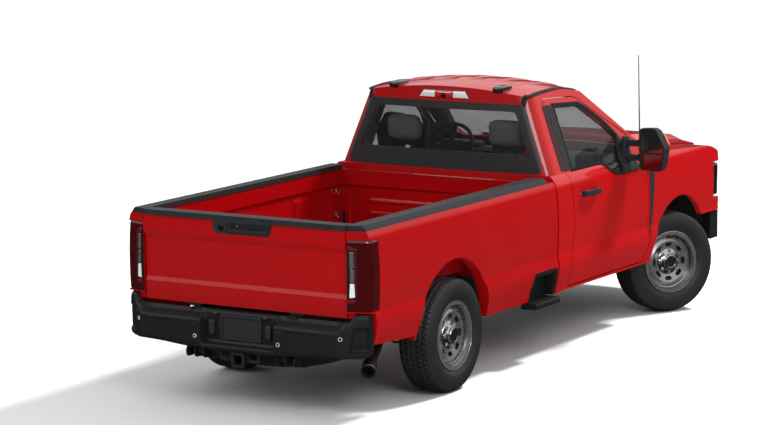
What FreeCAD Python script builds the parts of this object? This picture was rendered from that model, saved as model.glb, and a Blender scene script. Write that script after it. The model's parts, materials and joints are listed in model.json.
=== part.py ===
import FreeCAD, Part
import math
import os
import re
from functools import lru_cache
from types import SimpleNamespace
from FreeCAD import Placement, Rotation, Vector

# Driving sizes of a full-size single-cab pickup with an eight-foot load box, in
# millimetres and degrees. X points to the vehicle's left, Y to the rear, Z up.
SIZES = {
    # Whole vehicle
    "overall_length": 5888,
    "front_overhang": 954,
    "wheelbase": 3610,
    "shut_gap": 8,
    "seat_gap": 0.3,
    "overrun": 400,
    # Wheels and steering
    "tyre_radius": 407,
    "tyre_width": 265,
    "tread_flat": 150,
    "tread_width": 204,
    "tread_edge_radius": 399,
    "tyre_shoulder_x": 119,
    "tyre_shoulder_radius": 383,
    "upper_wall_x": 129,
    "upper_wall_radius": 350,
    "bulge_radius": 318,
    "lower_wall_x": 128,
    "lower_wall_radius": 284,
    "rim_seat_radius": 228.6,
    "rim_flange_radius": 247,
    "rim_width": 224,
    "rim_thickness": 9,
    "rim_well_radius": 203,
    "rim_well_offset": -20,
    "front_track": 1735,
    "rear_track": 1707,
    "kingpin_half_span": 820,
    "steer_angle": 30,
    "disc_rim_offset": 48,
    "disc_crown_offset": 84,
    "disc_crown_radius": 168,
    "hub_seat_offset": 64,
    "hub_seat_radius": 104,
    "hub_cap_radius": 62,
    "hub_cap_length": 36,
    "hub_radius": 58,
    "hub_flange": 15,
    "hub_start": -20,
    "brake_disc_radius": 176,
    "brake_disc_thickness": 32,
    "wheel_hole_count": 8,
    "wheel_hole_circle": 137,
    "wheel_hole_length": 62,
    "wheel_hole_width": 34,
    "lug_circle": 85,
    "lug_radius": 13,
    "lug_length": 24,
    "knuckle_half_height": 100,
    "knuckle_half_depth": 45,
    "kingpin_radius": 13,
    "kingpin_length": 34,
    "yoke_radius": 21,
    "yoke_height": 30,
    "spindle_radius": 40,
    "spindle_length": 30,
    "spindle_gap": 6,
    # Body side, as half widths at heights
    "belt_x": 925,
    "belt_z": 1345,
    "shoulder_mid_x": 966,
    "shoulder_mid_z": 1298,
    "shoulder_x": 985,
    "shoulder_z": 1235,
    "waist_x": 1000,
    "waist_z": 1040,
    "band_x": 992,
    "band_z": 766,
    "crease_x": 1008,
    "crease_z": 692,
    "sill_mid_x": 1003,
    "sill_mid_z": 620,
    "sill_x": 988,
    "sill_z": 556,
    "rocker_x": 968,
    "rocker_z": 470,
    # Cab
    "roof_side_x": 703,
    "roof_side_z": 1925,
    "roof_crown_z": 2002,
    "roof_side_drop": 66,
    "roof_crown_y": 1690,
    "roof_length_radius": 2500,
    "windscreen_base_y": 240,
    "windscreen_base_z": 1310,
    "windscreen_slope": 1.56,
    "windscreen_bulge": 135,
    "cab_back_y": 2145,
    "cab_base_z": 1300,
    "cab_back_slope": -0.13,
    "cab_back_bulge": 70,
    "rear_pillar_round": 100,
    "cab_seam_y": 2102,
    "firewall_y": 490,
    "cowl_front_y": 252,
    "cowl_bottom_z": 1185,
    "cowl_gap": 48,
    "cowl_height": 14,
    "lip_depth": 10,
    "pillar_wall": 46,
    "door_wall": 116,
    "floor_top_z": 665,
    "floor_wall": 42,
    "sill_board_inner_x": 800,
    # Door outline, along Y and Z
    "door_front_y": 590,
    "door_foot_y": 650,
    "door_bottom_z": 500,
    "door_foot_z": 620,
    "door_rear_y": 1850,
    "door_rear_bottom_y": 1918,
    "door_rear_knee_z": 900,
    "door_top_z": 1884,
    "door_arch_y": 1350,
    "door_arch_z": 1860,
    "door_post_y": 720,
    "door_post_z": 1505,
    "door_corner_z": 1385,
    "door_round": 60,
    "door_step": 22,
    "door_hinge_x": 965,
    "door_hinge_ahead": 40,
    "door_hinge_low_z": 700,
    "door_hinge_high_z": 1090,
    "hinge_height": 36,
    "hinge_plate": 10,
    "hinge_pin_radius": 7,
    "hinge_eye_radius": 13,
    "hinge_reach": 40,
    "hinge_skin": 16,
    # Side window, along Y and Z
    "window_rear_y": 1735,
    "window_top_z": 1818,
    "window_arch_y": 1330,
    "window_arch_z": 1800,
    "window_post_y": 880,
    "window_post_z": 1525,
    "window_front_y": 830,
    "window_low_z": 1250,
    "window_dip_y": 1155,
    "window_ramp_y": 1250,
    "window_sill_z": 1345,
    "window_round": 30,
    "glass_depth": 14,
    "glass_thickness": 6,
    # Windscreen and rear window, as half widths at heights
    "screen_low_x": 800,
    "screen_low_z": 1352,
    "screen_high_x": 622,
    "screen_high_z": 1872,
    "screen_round": 60,
    "screen_lap": 37,
    "back_low_x": 862,
    "back_low_z": 1352,
    "back_high_x": 672,
    "back_high_z": 1862,
    "back_clear_low_x": 740,
    "back_clear_low_z": 1486,
    "back_clear_high_x": 600,
    "back_clear_high_z": 1805,
    "back_round": 50,
    # Load box
    "box_front_y": 2120,
    "box_rear_y": -214,
    "box_wall_x": 830,
    "box_floor_z": 800,
    "box_floor_wall": 52,
    "box_skirt_x": 905,
    "box_front_wall_y": 2170,
    "box_front_wall": 55,
    "box_rail_z": 1307,
    "box_tail_z": 538,
    "box_sill_z": 500,
    "box_tail_lift_y": -754,
    "wheelhouse_x": 641,
    "wheelhouse_radius": 585,
    "wheelhouse_wall": 25,
    "rear_arch_radius": 500,
    "rear_arch_y": 45,
    "rear_arch_z": 465,
    "cap_height": 38,
    "cap_inner_x": 826,
    "tailgate_half_width": 824,
    "tailgate_pin_radius": 10,
    "tailgate_pin_length": 16,
    "tailgate_inner_y": -199,
    "tailgate_face_y": -122,
    "tailgate_brow_y": -94,
    "tailgate_brow_z": 1202,
    "tailgate_brow_low_z": 1150,
    "tailgate_fold_high_z": 872,
    "tailgate_fold_low_z": 843,
    "tailgate_bottom_z": 712,
    "tailgate_hinge_y": -138,
    "tailgate_hinge_z": 734,
    "tail_corner_y": -106,
    "tail_side_y": -158,
    "lamp_low_z": 761,
    "lamp_high_z": 1245,
    "lamp_side_y": -258,
    "lamp_proud": 6,
    "bezel_half_width": 235,
    "bezel_foot_half_width": 208,
    "bezel_low_z": 1222,
    "bezel_depth": 30,
    "bezel_proud": 4,
    # Bumper at the rear
    "rear_bumper_half_width": 985,
    "rear_bumper_flat_x": 800,
    "rear_bumper_corner_y": -44,
    "rear_bumper_side_y": -199,
    "rear_bumper_step_z": 640,
    "rear_bumper_bottom_z": 416,
    "rear_bumper_end_bottom_z": 470,
    "rear_bumper_end_top_z": 752,
    "rear_bumper_end_x": 886,
    "rear_bumper_depth": 93,
    "plate_recess_half_width": 285,
    "plate_recess_low_z": 461,
    "plate_recess_depth": 55,
    # Front end
    "nose_y": -910,
    "nose_sweep": 185,
    "front_arch_radius": 500,
    "front_arch_y": 0,
    "front_arch_z": 445,
    "fender_wall": 42,
    "fender_inner_x": 741,
    "fender_top_rear_z": 1345,
    "fender_ridge_y": -490,
    "fender_ridge_z": 1285,
    "fender_brow_y": -796,
    "fender_brow_z": 1180,
    "fender_low_z": 735,
    "hood_half_width": 735,
    "hood_rear_y": 190,
    "hood_crown_z": 1398,
    "hood_crest_x": 490,
    "hood_crest_rise": 8,
    "hood_shoulder_x": 610,
    "hood_shoulder_drop": 42,
    "hood_edge_drop": 62,
    "hood_length_radius": 6600,
    "hood_thickness": 42,
    "bonnet_hinge_x": 650,
    "bonnet_hinge_z": 1290,
    "bonnet_ear_top_z": 1325,
    "bonnet_eye_radius": 12,
    "bonnet_pin_radius": 6,
    "grille_half_width": 620,
    "grille_low_z": 742,
    "grille_depth": 95,
    "grille_bar": 46,
    "headlamp_low_z": 842,
    "front_bumper_top_z": 726,
    "front_bumper_low_z": 420,
    "front_bumper_end_low_z": 500,
    "front_bumper_depth": 150,
    "front_bumper_half_width": 985,
    "front_bumper_sweep": 205,
    # Mirror, on both doors
    "mirror_inner_x": 1080,
    "mirror_outer_x": 1335,
    "mirror_low_z": 1262,
    "mirror_high_z": 1600,
    "mirror_glass_y": 922,
    "mirror_depth": 118,
    "mirror_round": 45,
    "mirror_arm_high_z": 1468,
    "mirror_arm_low_z": 1350,
    "mirror_arm_radius": 21,
    "mirror_arm_y": 840,
    "handle_front_y": 1464,
    "handle_rear_y": 1762,
    "handle_z": 1172,
    "handle_radius": 15,
    "handle_stand_off": 34,
    # Chassis
    "rail_outer_x": 430,
    "rail_width": 75,
    "rail_wall": 9,
    "rail_front_y": -780,
    "rail_front_top_z": 660,
    "rail_mid_top_z": 612,
    "rail_rear_top_z": 690,
    "rail_height": 158,
    "rail_drop_front_y": 210,
    "rail_drop_rear_y": 430,
    "rail_rise_front_y": -900,
    "rail_rise_rear_y": -560,
    "crossmember_depth": 90,
    "crossmember_height": 90,
    "axle_tube_radius": 48,
    "diff_radius": 165,
    "diff_width": 300,
    "spring_width": 76,
    "spring_height": 54,
    "spring_x": 560,
    "spring_half_length": 700,
    "spring_camber": 110,
    "shock_radius": 30,
    "coil_radius": 50,
    "coil_x": 490,
    "coil_seat_z": 640,
    "exhaust_radius": 38,
    "tip_radius": 50,
    "shaft_radius": 45,
    "receiver_bore": 63.5,
    "receiver_wall": 8,
    "receiver_z": 366,
    "receiver_rear_y": -19,
    "receiver_length": 230,
    "hitch_tube": 76,
    "hitch_plate": 12,
    "hitch_y": -254,
    "pad_length": 90,
    "engine_half_width": 290,
    "engine_front_y": -370,
    "engine_rear_y": 460,
    "engine_low_z": 580,
    "engine_high_z": 1110,
    "radiator_half_width": 380,
    "radiator_front_y": -700,
    "radiator_thickness": 62,
    "radiator_high_z": 1120,
    "gearbox_half_width": 165,
    "gearbox_rear_y": 1570,
    "gearbox_low_z": 300,
    "gearbox_high_z": 560,
    "muffler_radius": 105,
    "muffler_front_y": 1840,
    "muffler_rear_y": 2610,
    "exhaust_x": 240,
    "exhaust_outer_x": 590,
    "exhaust_low_z": 420,
    "exhaust_high_z": 530,
    "tip_x": 930,
    "tip_y": -209,
    "tip_z": 345,
    "tank_inner_x": 455,
    "tank_outer_x": 800,
    "tank_front_y": 1090,
    "tank_rear_y": 2340,
    "tank_low_z": 330,
    "spare_y": -759,
    "spare_z": 394,
    "front_diff_x": 150,
    "front_diff_radius": 135,
    "liner_wall": 12,
    "liner_inner_x": 500,
    "seat_front_y": 1350,
    "seat_back_y": 1860,
    "seat_height_z": 1010,
    "seat_half_width": 720,
    "seat_back_thickness": 150,
    "seat_top_z": 1430,
    "seat_lean": 70,
    "headrest_x": 447,
    "headrest_half_width": 155,
    "headrest_low_z": 1515,
    "headrest_high_z": 1735,
    "headrest_y": 1905,
    "headrest_thickness": 95,
    "headrest_post_radius": 8,
    "dash_rear_y": 910,
    "dash_low_z": 880,
    "dash_high_z": 1380,
    "steering_wheel_x": 405,
    "steering_wheel_y": 1270,
    "steering_wheel_z": 1395,
    "steering_wheel_radius": 195,
    "steering_wheel_tube": 15,
    "steering_lean": 28,
    "column_radius": 32,
    "column_length": 500,
    "roof_lamp_x": 450,
    "roof_lamp_y": 1970,
    "roof_lamp_length": 200,
    "roof_lamp_width": 90,
    "roof_lamp_height": 22,
    "stop_lamp_low_x": 220,
    "stop_lamp_high_x": 180,
    "stop_lamp_low_z": 1885,
    "stop_lamp_high_z": 1942,
    "vent_rear_y": 552,
    "vent_width": 78,
    "vent_high_z": 1212,
    "vent_low_z": 690,
    "vent_proud": 4,
    "antenna_x": 768,
    "antenna_y": 275,
    "antenna_tip_z": 2090,
    "antenna_radius": 2.5,
    "antenna_base_radius": 16,
    "antenna_rake": 30,
    "step_front_y": 2122,
    "step_rear_y": 2535,
    "step_top_z": 676,
    "step_low_z": 412,
    "step_tread": 46,
    "step_outer_x": 1035,
    "step_wall": 16,
}
VIA = "via"

DOC = FreeCAD.newDocument("Pickup")
SHEET = DOC.addObject("Spreadsheet::Sheet", "Sizes")
for row, (alias, amount) in enumerate(SIZES.items(), start=1):
    SHEET.set("A%d" % row, alias)
    SHEET.set("B%d" % row, str(amount))
    SHEET.setAlias("B%d" % row, alias)
DOC.recompute()
d = SimpleNamespace(**{alias: float(getattr(SHEET, alias)) for alias in SIZES})

FRONT_AXLE_Y = d.front_overhang - d.overall_length / 2
REAR_AXLE_Y = FRONT_AXLE_Y + d.wheelbase
FRONT_FACE_Y = -d.overall_length / 2
REAR_FACE_Y = d.overall_length / 2

# Sizes ending in _y are listed behind the front axle, but for those measured from the rear
# axle or from the rear face. From here on they are places in the frame of the whole truck.
REAR_AXLE_SIZES = {"rear_arch_y", "rail_rise_front_y", "rail_rise_rear_y"}
REAR_FACE_SIZES = {
    "box_rear_y", "box_tail_lift_y", "tail_corner_y", "tail_side_y", "lamp_side_y",
    "tailgate_inner_y", "tailgate_face_y", "tailgate_brow_y", "tailgate_hinge_y",
    "rear_bumper_corner_y", "rear_bumper_side_y", "receiver_rear_y", "hitch_y", "tip_y", "spare_y",
}
for alias in SIZES:
    if alias in REAR_AXLE_SIZES:
        setattr(d, alias, getattr(d, alias) + REAR_AXLE_Y)
    elif alias in REAR_FACE_SIZES:
        setattr(d, alias, getattr(d, alias) + REAR_FACE_Y)
    elif alias.endswith("_y"):
        setattr(d, alias, getattr(d, alias) + FRONT_AXLE_Y)

TOP_Z = d.roof_crown_z + d.overrun
X_AXIS = Vector(1, 0, 0)
Y_AXIS = Vector(0, 1, 0)
Z_AXIS = Vector(0, 0, 1)
ORIGIN = Vector(0, 0, 0)
PLANE_NORMALS = {"YZ": X_AXIS, "XZ": Y_AXIS, "XY": Z_AXIS}


def in_space(plane, offset, pair):
    """A point of an outline, placed on a plane at an offset along its normal."""
    first, second = pair[:2]
    places = {
        "YZ": (offset, first, second),
        "XZ": (first, offset, second),
        "XY": (first, second, offset),
    }
    return Vector(*places[plane])


def outline(plane, offset, path):
    """A flat face. A point marked VIA is the middle of an arc between its neighbours."""
    edges = []
    count = len(path)
    index = 0
    while index < count:
        start = in_space(plane, offset, path[index])
        step = path[(index + 1) % count]
        if len(step) == 3:
            middle = in_space(plane, offset, step)
            end = in_space(plane, offset, path[(index + 2) % count])
            edges.append(Part.Arc(start, middle, end).toShape())
            index += 2
        else:
            end = in_space(plane, offset, step)
            edges.append(Part.LineSegment(start, end).toShape())
            index += 1
    return Part.Face(Part.Wire(edges))


def inset(face, distance):
    """The same face with its edge moved inwards."""
    if distance == 0:
        return face
    return face.makeOffset2D(-distance, 2)


def prism(plane, path, low, high, shrink=0):
    """An outline carried straight along its plane's normal from low to high."""
    face = inset(outline(plane, low, path), shrink)
    return face.extrude(PLANE_NORMALS[plane] * (high - low))


def rounded(corners):
    """An outline from corners (a, b) or (a, b, radius), each radius a tangent arc."""
    path = []
    count = len(corners)
    for index, corner in enumerate(corners):
        here = Vector(corner[0], corner[1], 0)
        radius = corner[2] if len(corner) > 2 else 0
        if radius == 0:
            path.append((here.x, here.y))
            continue
        before = Vector(*corners[index - 1][:2], 0) - here
        after = Vector(*corners[(index + 1) % count][:2], 0) - here
        before.normalize()
        after.normalize()
        half_turn = before.getAngle(after) / 2
        reach = radius / math.tan(half_turn)
        towards = (before + after).normalize()
        middle = here + towards * (radius / math.sin(half_turn) - radius)
        first = here + before * reach
        last = here + after * reach
        path += [(first.x, first.y), (middle.x, middle.y, VIA), (last.x, last.y)]
    return path


def both_sides(path):
    """A right-hand path from top to bottom, closed by its mirror image."""
    return path + [(-point[0],) + tuple(point[1:]) for point in reversed(path)]


def block(x_range, y_range, z_range):
    """A box between two values on each axis."""
    lows = [min(span) for span in (x_range, y_range, z_range)]
    highs = [max(span) for span in (x_range, y_range, z_range)]
    spans = [high - low for low, high in zip(lows, highs)]
    return Part.makeBox(*spans, Vector(*lows))


def rod(start, end, radius):
    """A round bar between two points."""
    return Part.makeCylinder(radius, (end - start).Length, start, end - start)


def flipped(shape):
    """The shape of the other side of the vehicle."""
    return shape.mirror(ORIGIN, X_AXIS)


def pair(shape):
    """A piece and its mirror image, as two solids that don't touch."""
    return Part.makeCompound([shape, flipped(shape)])


def one(shape):
    """The single solid of a boolean result, its split faces joined again."""
    clean = shape.removeSplitter()
    return max(clean.Solids, key=lambda solid: solid.Volume)


def node(name, shape, placement=None):
    """A sub-part whose form is worked out from the sheet's sizes."""
    feature = DOC.addObject("Part::Feature", name)
    feature.Label = name
    feature.Shape = shape
    if placement is not None:
        feature.Placement = placement
    return feature


def sheet_words(expression):
    """An expression with each size written as a cell of the sheet."""
    return re.sub(
        r"[a-z][a-z_]*",
        lambda found: "Sizes." + found.group(0) if found.group(0) in SIZES else found.group(0),
        expression,
    )


def bind(item, **expressions):
    """Ties properties of an object to the sheet."""
    for name, expression in expressions.items():
        item.setExpression(name, sheet_words(expression))


# Body side


def side_path():
    """Half outline of the body side below the belt, from the belt down."""
    return [
        (d.belt_x, d.belt_z),
        (d.shoulder_mid_x, d.shoulder_mid_z, VIA),
        (d.shoulder_x, d.shoulder_z),
        (d.waist_x, d.waist_z, VIA),
        (d.band_x, d.band_z),
        (d.crease_x, d.crease_z),
        (d.sill_mid_x, d.sill_mid_z, VIA),
        (d.sill_x, d.sill_z),
        (d.rocker_x, d.rocker_z),
    ]


def side_prism(front, rear, shrink=0):
    """The body's lower section carried along the vehicle."""
    return prism("XZ", both_sides(side_path()), front, rear, shrink)


# Cab


def plan_wedge(centre_y, base_z, bulge, slope, behind):
    """Everything behind, or ahead of, a pane bowed in plan and leaning along its slope."""
    half = d.belt_x + d.overrun
    ratio = (half / d.belt_x) ** 2
    edge_y = centre_y + bulge * ratio * (1 if behind else -1)
    far_y = centre_y + (d.overall_length if behind else -d.overall_length)
    path = [(-half, edge_y), (0, centre_y, VIA), (half, edge_y), (half, far_y), (-half, far_y)]
    low_z = d.cowl_bottom_z
    low = outline("XY", low_z, path)
    low.translate(Vector(0, (low_z - base_z) * slope, 0))
    rise = TOP_Z - low_z
    return low.extrude(Vector(0, rise * slope, rise))


def roof_barrel(shrink):
    """The roof, an arc across the cab turned about an axis far below it."""
    half = d.belt_x + d.pillar_wall
    centre_z = d.roof_crown_z - d.roof_length_radius
    drop = d.roof_side_drop * (half / d.roof_side_x) ** 2
    crown = d.roof_crown_z - shrink
    path = [(-half, centre_z), (half, centre_z), (half, crown - drop), (0, crown, VIA), (-half, crown - drop)]
    face = outline("XZ", d.roof_crown_y, path)
    return face.revolve(Vector(0, d.roof_crown_y, centre_z), X_AXIS, 360)


@lru_cache(maxsize=None)
def greenhouse(shrink=0):
    """The cab above the belt: leaning sides, bowed windscreen and back, domed roof."""
    lean = (d.roof_side_x - d.belt_x) / (d.roof_side_z - d.belt_z)
    base_x = d.belt_x + lean * (d.cab_base_z - d.belt_z)
    top_x = d.belt_x + lean * (TOP_Z - d.belt_z)
    across = shrink / math.cos(math.atan(lean))
    path = [(top_x - across, TOP_Z), (base_x - across, d.cab_base_z)]
    hull = prism("XZ", both_sides(path), -d.overall_length / 2, d.overall_length / 2)
    screen_shift = shrink * math.hypot(1, d.windscreen_slope)
    screen = plan_wedge(
        d.windscreen_base_y + screen_shift,
        d.windscreen_base_z,
        d.windscreen_bulge,
        d.windscreen_slope,
        True,
    )
    back = plan_wedge(
        d.cab_back_y - shrink,
        d.cab_base_z,
        d.cab_back_bulge,
        d.cab_back_slope,
        False,
    )
    hull = hull.common(screen).common(back)
    hull = hull.common(roof_barrel(shrink))
    rear_posts = [
        edge
        for edge in hull.Edges
        if edge.BoundBox.ZLength > d.overrun
        and abs(edge.CenterOfMass.x) > d.overrun
        and edge.CenterOfMass.y > d.roof_crown_y
    ]
    return hull.makeFillet(d.rear_pillar_round - shrink, rear_posts)


@lru_cache(maxsize=None)
def cab_void():
    """The room inside the cab, down to the floor."""
    upper = greenhouse(d.pillar_wall)
    low_front = d.firewall_y + d.floor_wall
    low_rear = d.cab_seam_y - d.pillar_wall
    inner_x = d.waist_x - d.door_wall - d.lip_depth
    foot_x = d.sill_board_inner_x
    door_end = d.door_front_y - d.shut_gap
    lower = block((-inner_x, inner_x), (door_end, low_rear), (d.floor_top_z, d.cab_base_z))
    footwell = block((-foot_x, foot_x), (low_front, door_end), (d.floor_top_z, d.cab_base_z))
    tray = block(
        (-d.sill_board_inner_x, d.sill_board_inner_x),
        (low_front, low_rear),
        (d.cab_base_z - d.overrun / 2, d.belt_z),
    )
    return upper.fuse([lower, footwell, tray])


def door_path(grow=0):
    """Outline of a door seen from the side."""
    return rounded([
        (d.door_rear_y + grow, d.door_top_z + grow, d.door_round / 2),
        (d.door_arch_y, d.door_arch_z + grow, d.door_round * 4),
        (d.door_post_y - grow, d.door_post_z + grow, d.door_round),
        (d.door_front_y - grow, d.door_corner_z + grow, d.door_round),
        (d.door_front_y - grow, d.door_foot_z - grow, d.door_round),
        (d.door_foot_y - grow, d.door_bottom_z - grow, d.door_round / 2),
        (d.door_rear_bottom_y + grow, d.door_bottom_z - grow, d.door_round / 3),
        (d.door_rear_y + grow, d.door_rear_knee_z, d.door_round * 4),
    ])


def window_path(grow=0):
    """Outline of the side window seen from the side."""
    return rounded([
        (d.window_rear_y + grow, d.window_top_z + grow, d.window_round),
        (d.window_arch_y, d.window_arch_z + grow, d.window_round * 5),
        (d.window_post_y, d.window_post_z + grow, d.window_round),
        (d.window_front_y - grow, d.window_low_z - grow, d.window_round / 2),
        (d.window_dip_y, d.window_low_z - grow, d.window_round),
        (d.window_ramp_y, d.window_sill_z - grow, d.window_round),
        (d.window_rear_y + grow, d.window_sill_z - grow, d.window_round / 2),
    ])


@lru_cache(maxsize=None)
def cab_hull(shrink=0):
    """The whole cab's outside, the lower half and the greenhouse as one."""
    lower = side_prism(d.firewall_y, d.cab_seam_y - shrink, shrink)
    return lower.fuse(greenhouse(shrink))


def screen_path(low_x, low_z, high_x, high_z, radius):
    """Outline of a front or rear pane seen along the vehicle."""
    return rounded([
        (low_x, low_z, radius),
        (high_x, high_z, radius),
        (-high_x, high_z, radius),
        (-low_x, low_z, radius),
    ])


def front_pane(grow):
    """Region of the windscreen seen from ahead."""
    path = screen_path(
        d.screen_low_x + grow, d.screen_low_z - grow, d.screen_high_x + grow, d.screen_high_z + grow, d.screen_round
    )
    return prism("XZ", path, d.nose_y, d.roof_crown_y - d.overrun)


def back_pane(low_x, low_z, high_x, high_z, grow=0):
    """Region of the rear window seen from behind."""
    path = screen_path(low_x + grow, low_z - grow, high_x + grow, high_z + grow, d.back_round)
    return prism("XZ", path, d.door_rear_y, d.cab_back_y + d.overrun)


def make_cab():
    """Roof, pillars, rear wall, floor, sills, firewall and cowl tray as one shell."""
    tray = block(
        (-d.hood_half_width, d.hood_half_width),
        (d.cowl_front_y, d.firewall_y),
        (d.cowl_bottom_z, d.cab_base_z),
    )
    shell = cab_hull().fuse(tray)
    shell = shell.cut(cab_void())
    under = block(
        (-d.box_skirt_x + d.floor_wall, d.box_skirt_x - d.floor_wall),
        (d.firewall_y - d.overrun, d.cab_seam_y + d.overrun),
        (0, d.floor_top_z - d.floor_wall),
    )
    fender_side = block(
        (d.sill_board_inner_x + d.floor_wall, d.waist_x + d.overrun),
        (d.firewall_y - d.overrun, d.door_front_y - d.shut_gap),
        (0, d.cab_base_z + d.floor_wall),
    )
    inner_x = d.waist_x - d.door_wall - d.lip_depth
    hole = prism("YZ", door_path(d.shut_gap), inner_x - d.lip_depth, d.waist_x + d.overrun)
    upper_hole = prism("YZ", door_path(d.shut_gap), d.overrun, d.waist_x)
    upper_hole = upper_hole.cut(
        block((0, d.waist_x), (d.nose_y, d.overrun), (0, d.cab_base_z - d.floor_wall)),
    )
    shell = shell.cut([
        under,
        fender_side,
        flipped(fender_side),
        hole,
        flipped(hole),
        upper_hole,
        flipped(upper_hole),
    ])
    screen = front_pane(-d.screen_lap)
    pocket = greenhouse().cut(greenhouse(d.glass_thickness + d.seat_gap))
    back = back_pane(d.back_clear_low_x, d.back_clear_low_z, d.back_clear_high_x, d.back_clear_high_z)
    rear_seat = pocket.common(back_pane(d.back_low_x, d.back_low_z, d.back_high_x, d.back_high_z, d.seat_gap))
    front_seat = pocket.common(front_pane(d.seat_gap))
    shell = shell.cut([screen, back, rear_seat, front_seat])
    brackets = [door_bracket(), flipped(door_bracket()), bonnet_bracket(), flipped(bonnet_bracket())]
    return one(shell.fuse(brackets))


def door_hinge_y():
    """Place of the door's hinge pins, ahead of the shut line."""
    return d.door_front_y - d.door_hinge_ahead


def door_bracket():
    """Left hinge plates with their pins, reaching out of the cab's front pillar."""
    y = door_hinge_y()
    pillar_x = d.sill_board_inner_x + d.floor_wall
    pieces = []
    for z in (d.door_hinge_low_z, d.door_hinge_high_z):
        plate = block(
            (pillar_x - d.hinge_plate, d.door_hinge_x),
            (y - d.hinge_eye_radius, y + d.hinge_eye_radius),
            (z - d.hinge_plate, z - d.seat_gap),
        )
        eye = Part.makeCylinder(
            d.hinge_eye_radius,
            d.hinge_plate - d.seat_gap,
            Vector(d.door_hinge_x, y, z - d.hinge_plate),
        )
        pin = Part.makeCylinder(
            d.hinge_pin_radius,
            d.hinge_height + d.hinge_plate,
            Vector(d.door_hinge_x, y, z - d.hinge_plate),
        )
        pieces.append(plate.fuse([eye, pin]))
    return Part.makeCompound(pieces)


def door_straps():
    """Left door's hinge straps: an eye, a neck going inboard and an arm to the door."""
    y = door_hinge_y()
    inner = d.door_hinge_x - d.hinge_reach
    half = d.hinge_plate / 2
    straps = []
    for z in (d.door_hinge_low_z, d.door_hinge_high_z):
        top = z + d.hinge_height
        neck = block((inner - half, d.door_hinge_x), (y - half, y + half), (z, top))
        arm = block(
            (inner - half, inner + half),
            (y - half, d.door_front_y + d.door_step + d.hinge_plate),
            (z, top),
        )
        eye = Part.makeCylinder(d.hinge_eye_radius, d.hinge_height, Vector(d.door_hinge_x, y, z))
        bore = Part.makeCylinder(
            d.hinge_pin_radius + d.seat_gap,
            d.hinge_height,
            Vector(d.door_hinge_x, y, z),
        )
        straps.append(neck.fuse([arm, eye]).cut(bore))
    return straps


def bonnet_hinge():
    """Place of the bonnet's hinge pins, under its rear edge."""
    return Vector(d.bonnet_hinge_x, d.hood_rear_y - d.bonnet_eye_radius, d.bonnet_hinge_z)


def bonnet_bracket():
    """Left bonnet bracket with its pin, standing on the cowl tray's front."""
    pin_centre = bonnet_hinge()
    eye = Part.makeCylinder(d.bonnet_eye_radius, d.hinge_plate, pin_centre, X_AXIS)
    plate = block(
        (pin_centre.x, pin_centre.x + d.hinge_plate),
        (pin_centre.y - d.bonnet_eye_radius, d.cowl_front_y + d.hinge_plate),
        (d.cab_base_z - d.floor_wall - d.bonnet_eye_radius, pin_centre.z - d.hinge_plate),
    )
    web = block(
        (pin_centre.x, pin_centre.x + d.hinge_plate),
        (pin_centre.y - d.bonnet_eye_radius, pin_centre.y + d.bonnet_eye_radius),
        (pin_centre.z - d.hinge_plate, pin_centre.z),
    )
    pin = rod(pin_centre - X_AXIS * d.hinge_plate, pin_centre + X_AXIS * d.hinge_plate, d.bonnet_pin_radius)
    return plate.fuse([eye, web, pin])


def bonnet_ear():
    """Left ear of the bonnet, turning on the bracket's pin."""
    centre = bonnet_hinge() - X_AXIS * (d.hinge_plate + d.seat_gap)
    ear = Part.makeCylinder(d.bonnet_eye_radius, d.hinge_plate, centre, X_AXIS)
    stem = block(
        (centre.x, centre.x + d.hinge_plate),
        (centre.y - d.bonnet_eye_radius, centre.y + d.bonnet_eye_radius),
        (centre.z, d.bonnet_ear_top_z),
    )
    bore = Part.makeCylinder(d.bonnet_pin_radius + d.seat_gap, d.hinge_plate, centre, X_AXIS)
    return ear.fuse(stem).cut(bore)


def make_cab_glass():
    """Windscreen and rear window, each bonded into its recess."""
    layer = greenhouse().cut(greenhouse(d.glass_thickness))
    screen = one(layer.common(front_pane(0)))
    back = one(layer.common(back_pane(d.back_low_x, d.back_low_z, d.back_high_x, d.back_high_z)))
    return Part.makeCompound([screen, back])


def make_door():
    """Left door: a thin outer lip over a thick inner panel that is smaller all round."""
    outer = cab_hull()
    below_lip = cab_hull(d.lip_depth)
    inner_x = d.waist_x - d.door_wall
    lip = outer.cut(below_lip).common(prism("YZ", door_path(), d.overrun, d.waist_x + d.overrun))
    room = cab_hull(d.pillar_wall)
    low_room = block((0, inner_x), (d.nose_y, d.overrun), (0, d.cab_base_z))
    panel = below_lip.cut(room.cut(block((inner_x, d.waist_x), (d.nose_y, d.overrun), (0, d.cab_base_z))))
    panel = panel.cut(low_room).common(prism("YZ", door_path(-d.door_step), d.overrun, d.waist_x))
    door = lip.fuse(panel)
    door = door.cut(prism("YZ", window_path(), d.overrun, d.waist_x + d.overrun))
    return one(door.fuse(door_straps()))


def make_door_glass():
    """Left side window, in the middle of the door's frame."""
    layer = cab_hull(d.glass_depth).cut(cab_hull(d.glass_depth + d.glass_thickness))
    return one(layer.common(prism("YZ", window_path(-d.seat_gap), d.overrun, d.waist_x)))


# Bonnet, fenders and nose


def nose_wedge(centre_y, sweep, half_width, low_z, high_z, depth=None):
    """Region behind a front face bowed in plan; with a depth, a bowed slab of that depth."""
    path = [(-half_width, centre_y + sweep), (0, centre_y, VIA), (half_width, centre_y + sweep)]
    if depth is None:
        path += [(half_width, 0), (-half_width, 0)]
    else:
        path += [
            (half_width, centre_y + sweep + depth),
            (0, centre_y + depth, VIA),
            (-half_width, centre_y + sweep + depth),
        ]
    return prism("XY", path, low_z, high_z)


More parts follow.
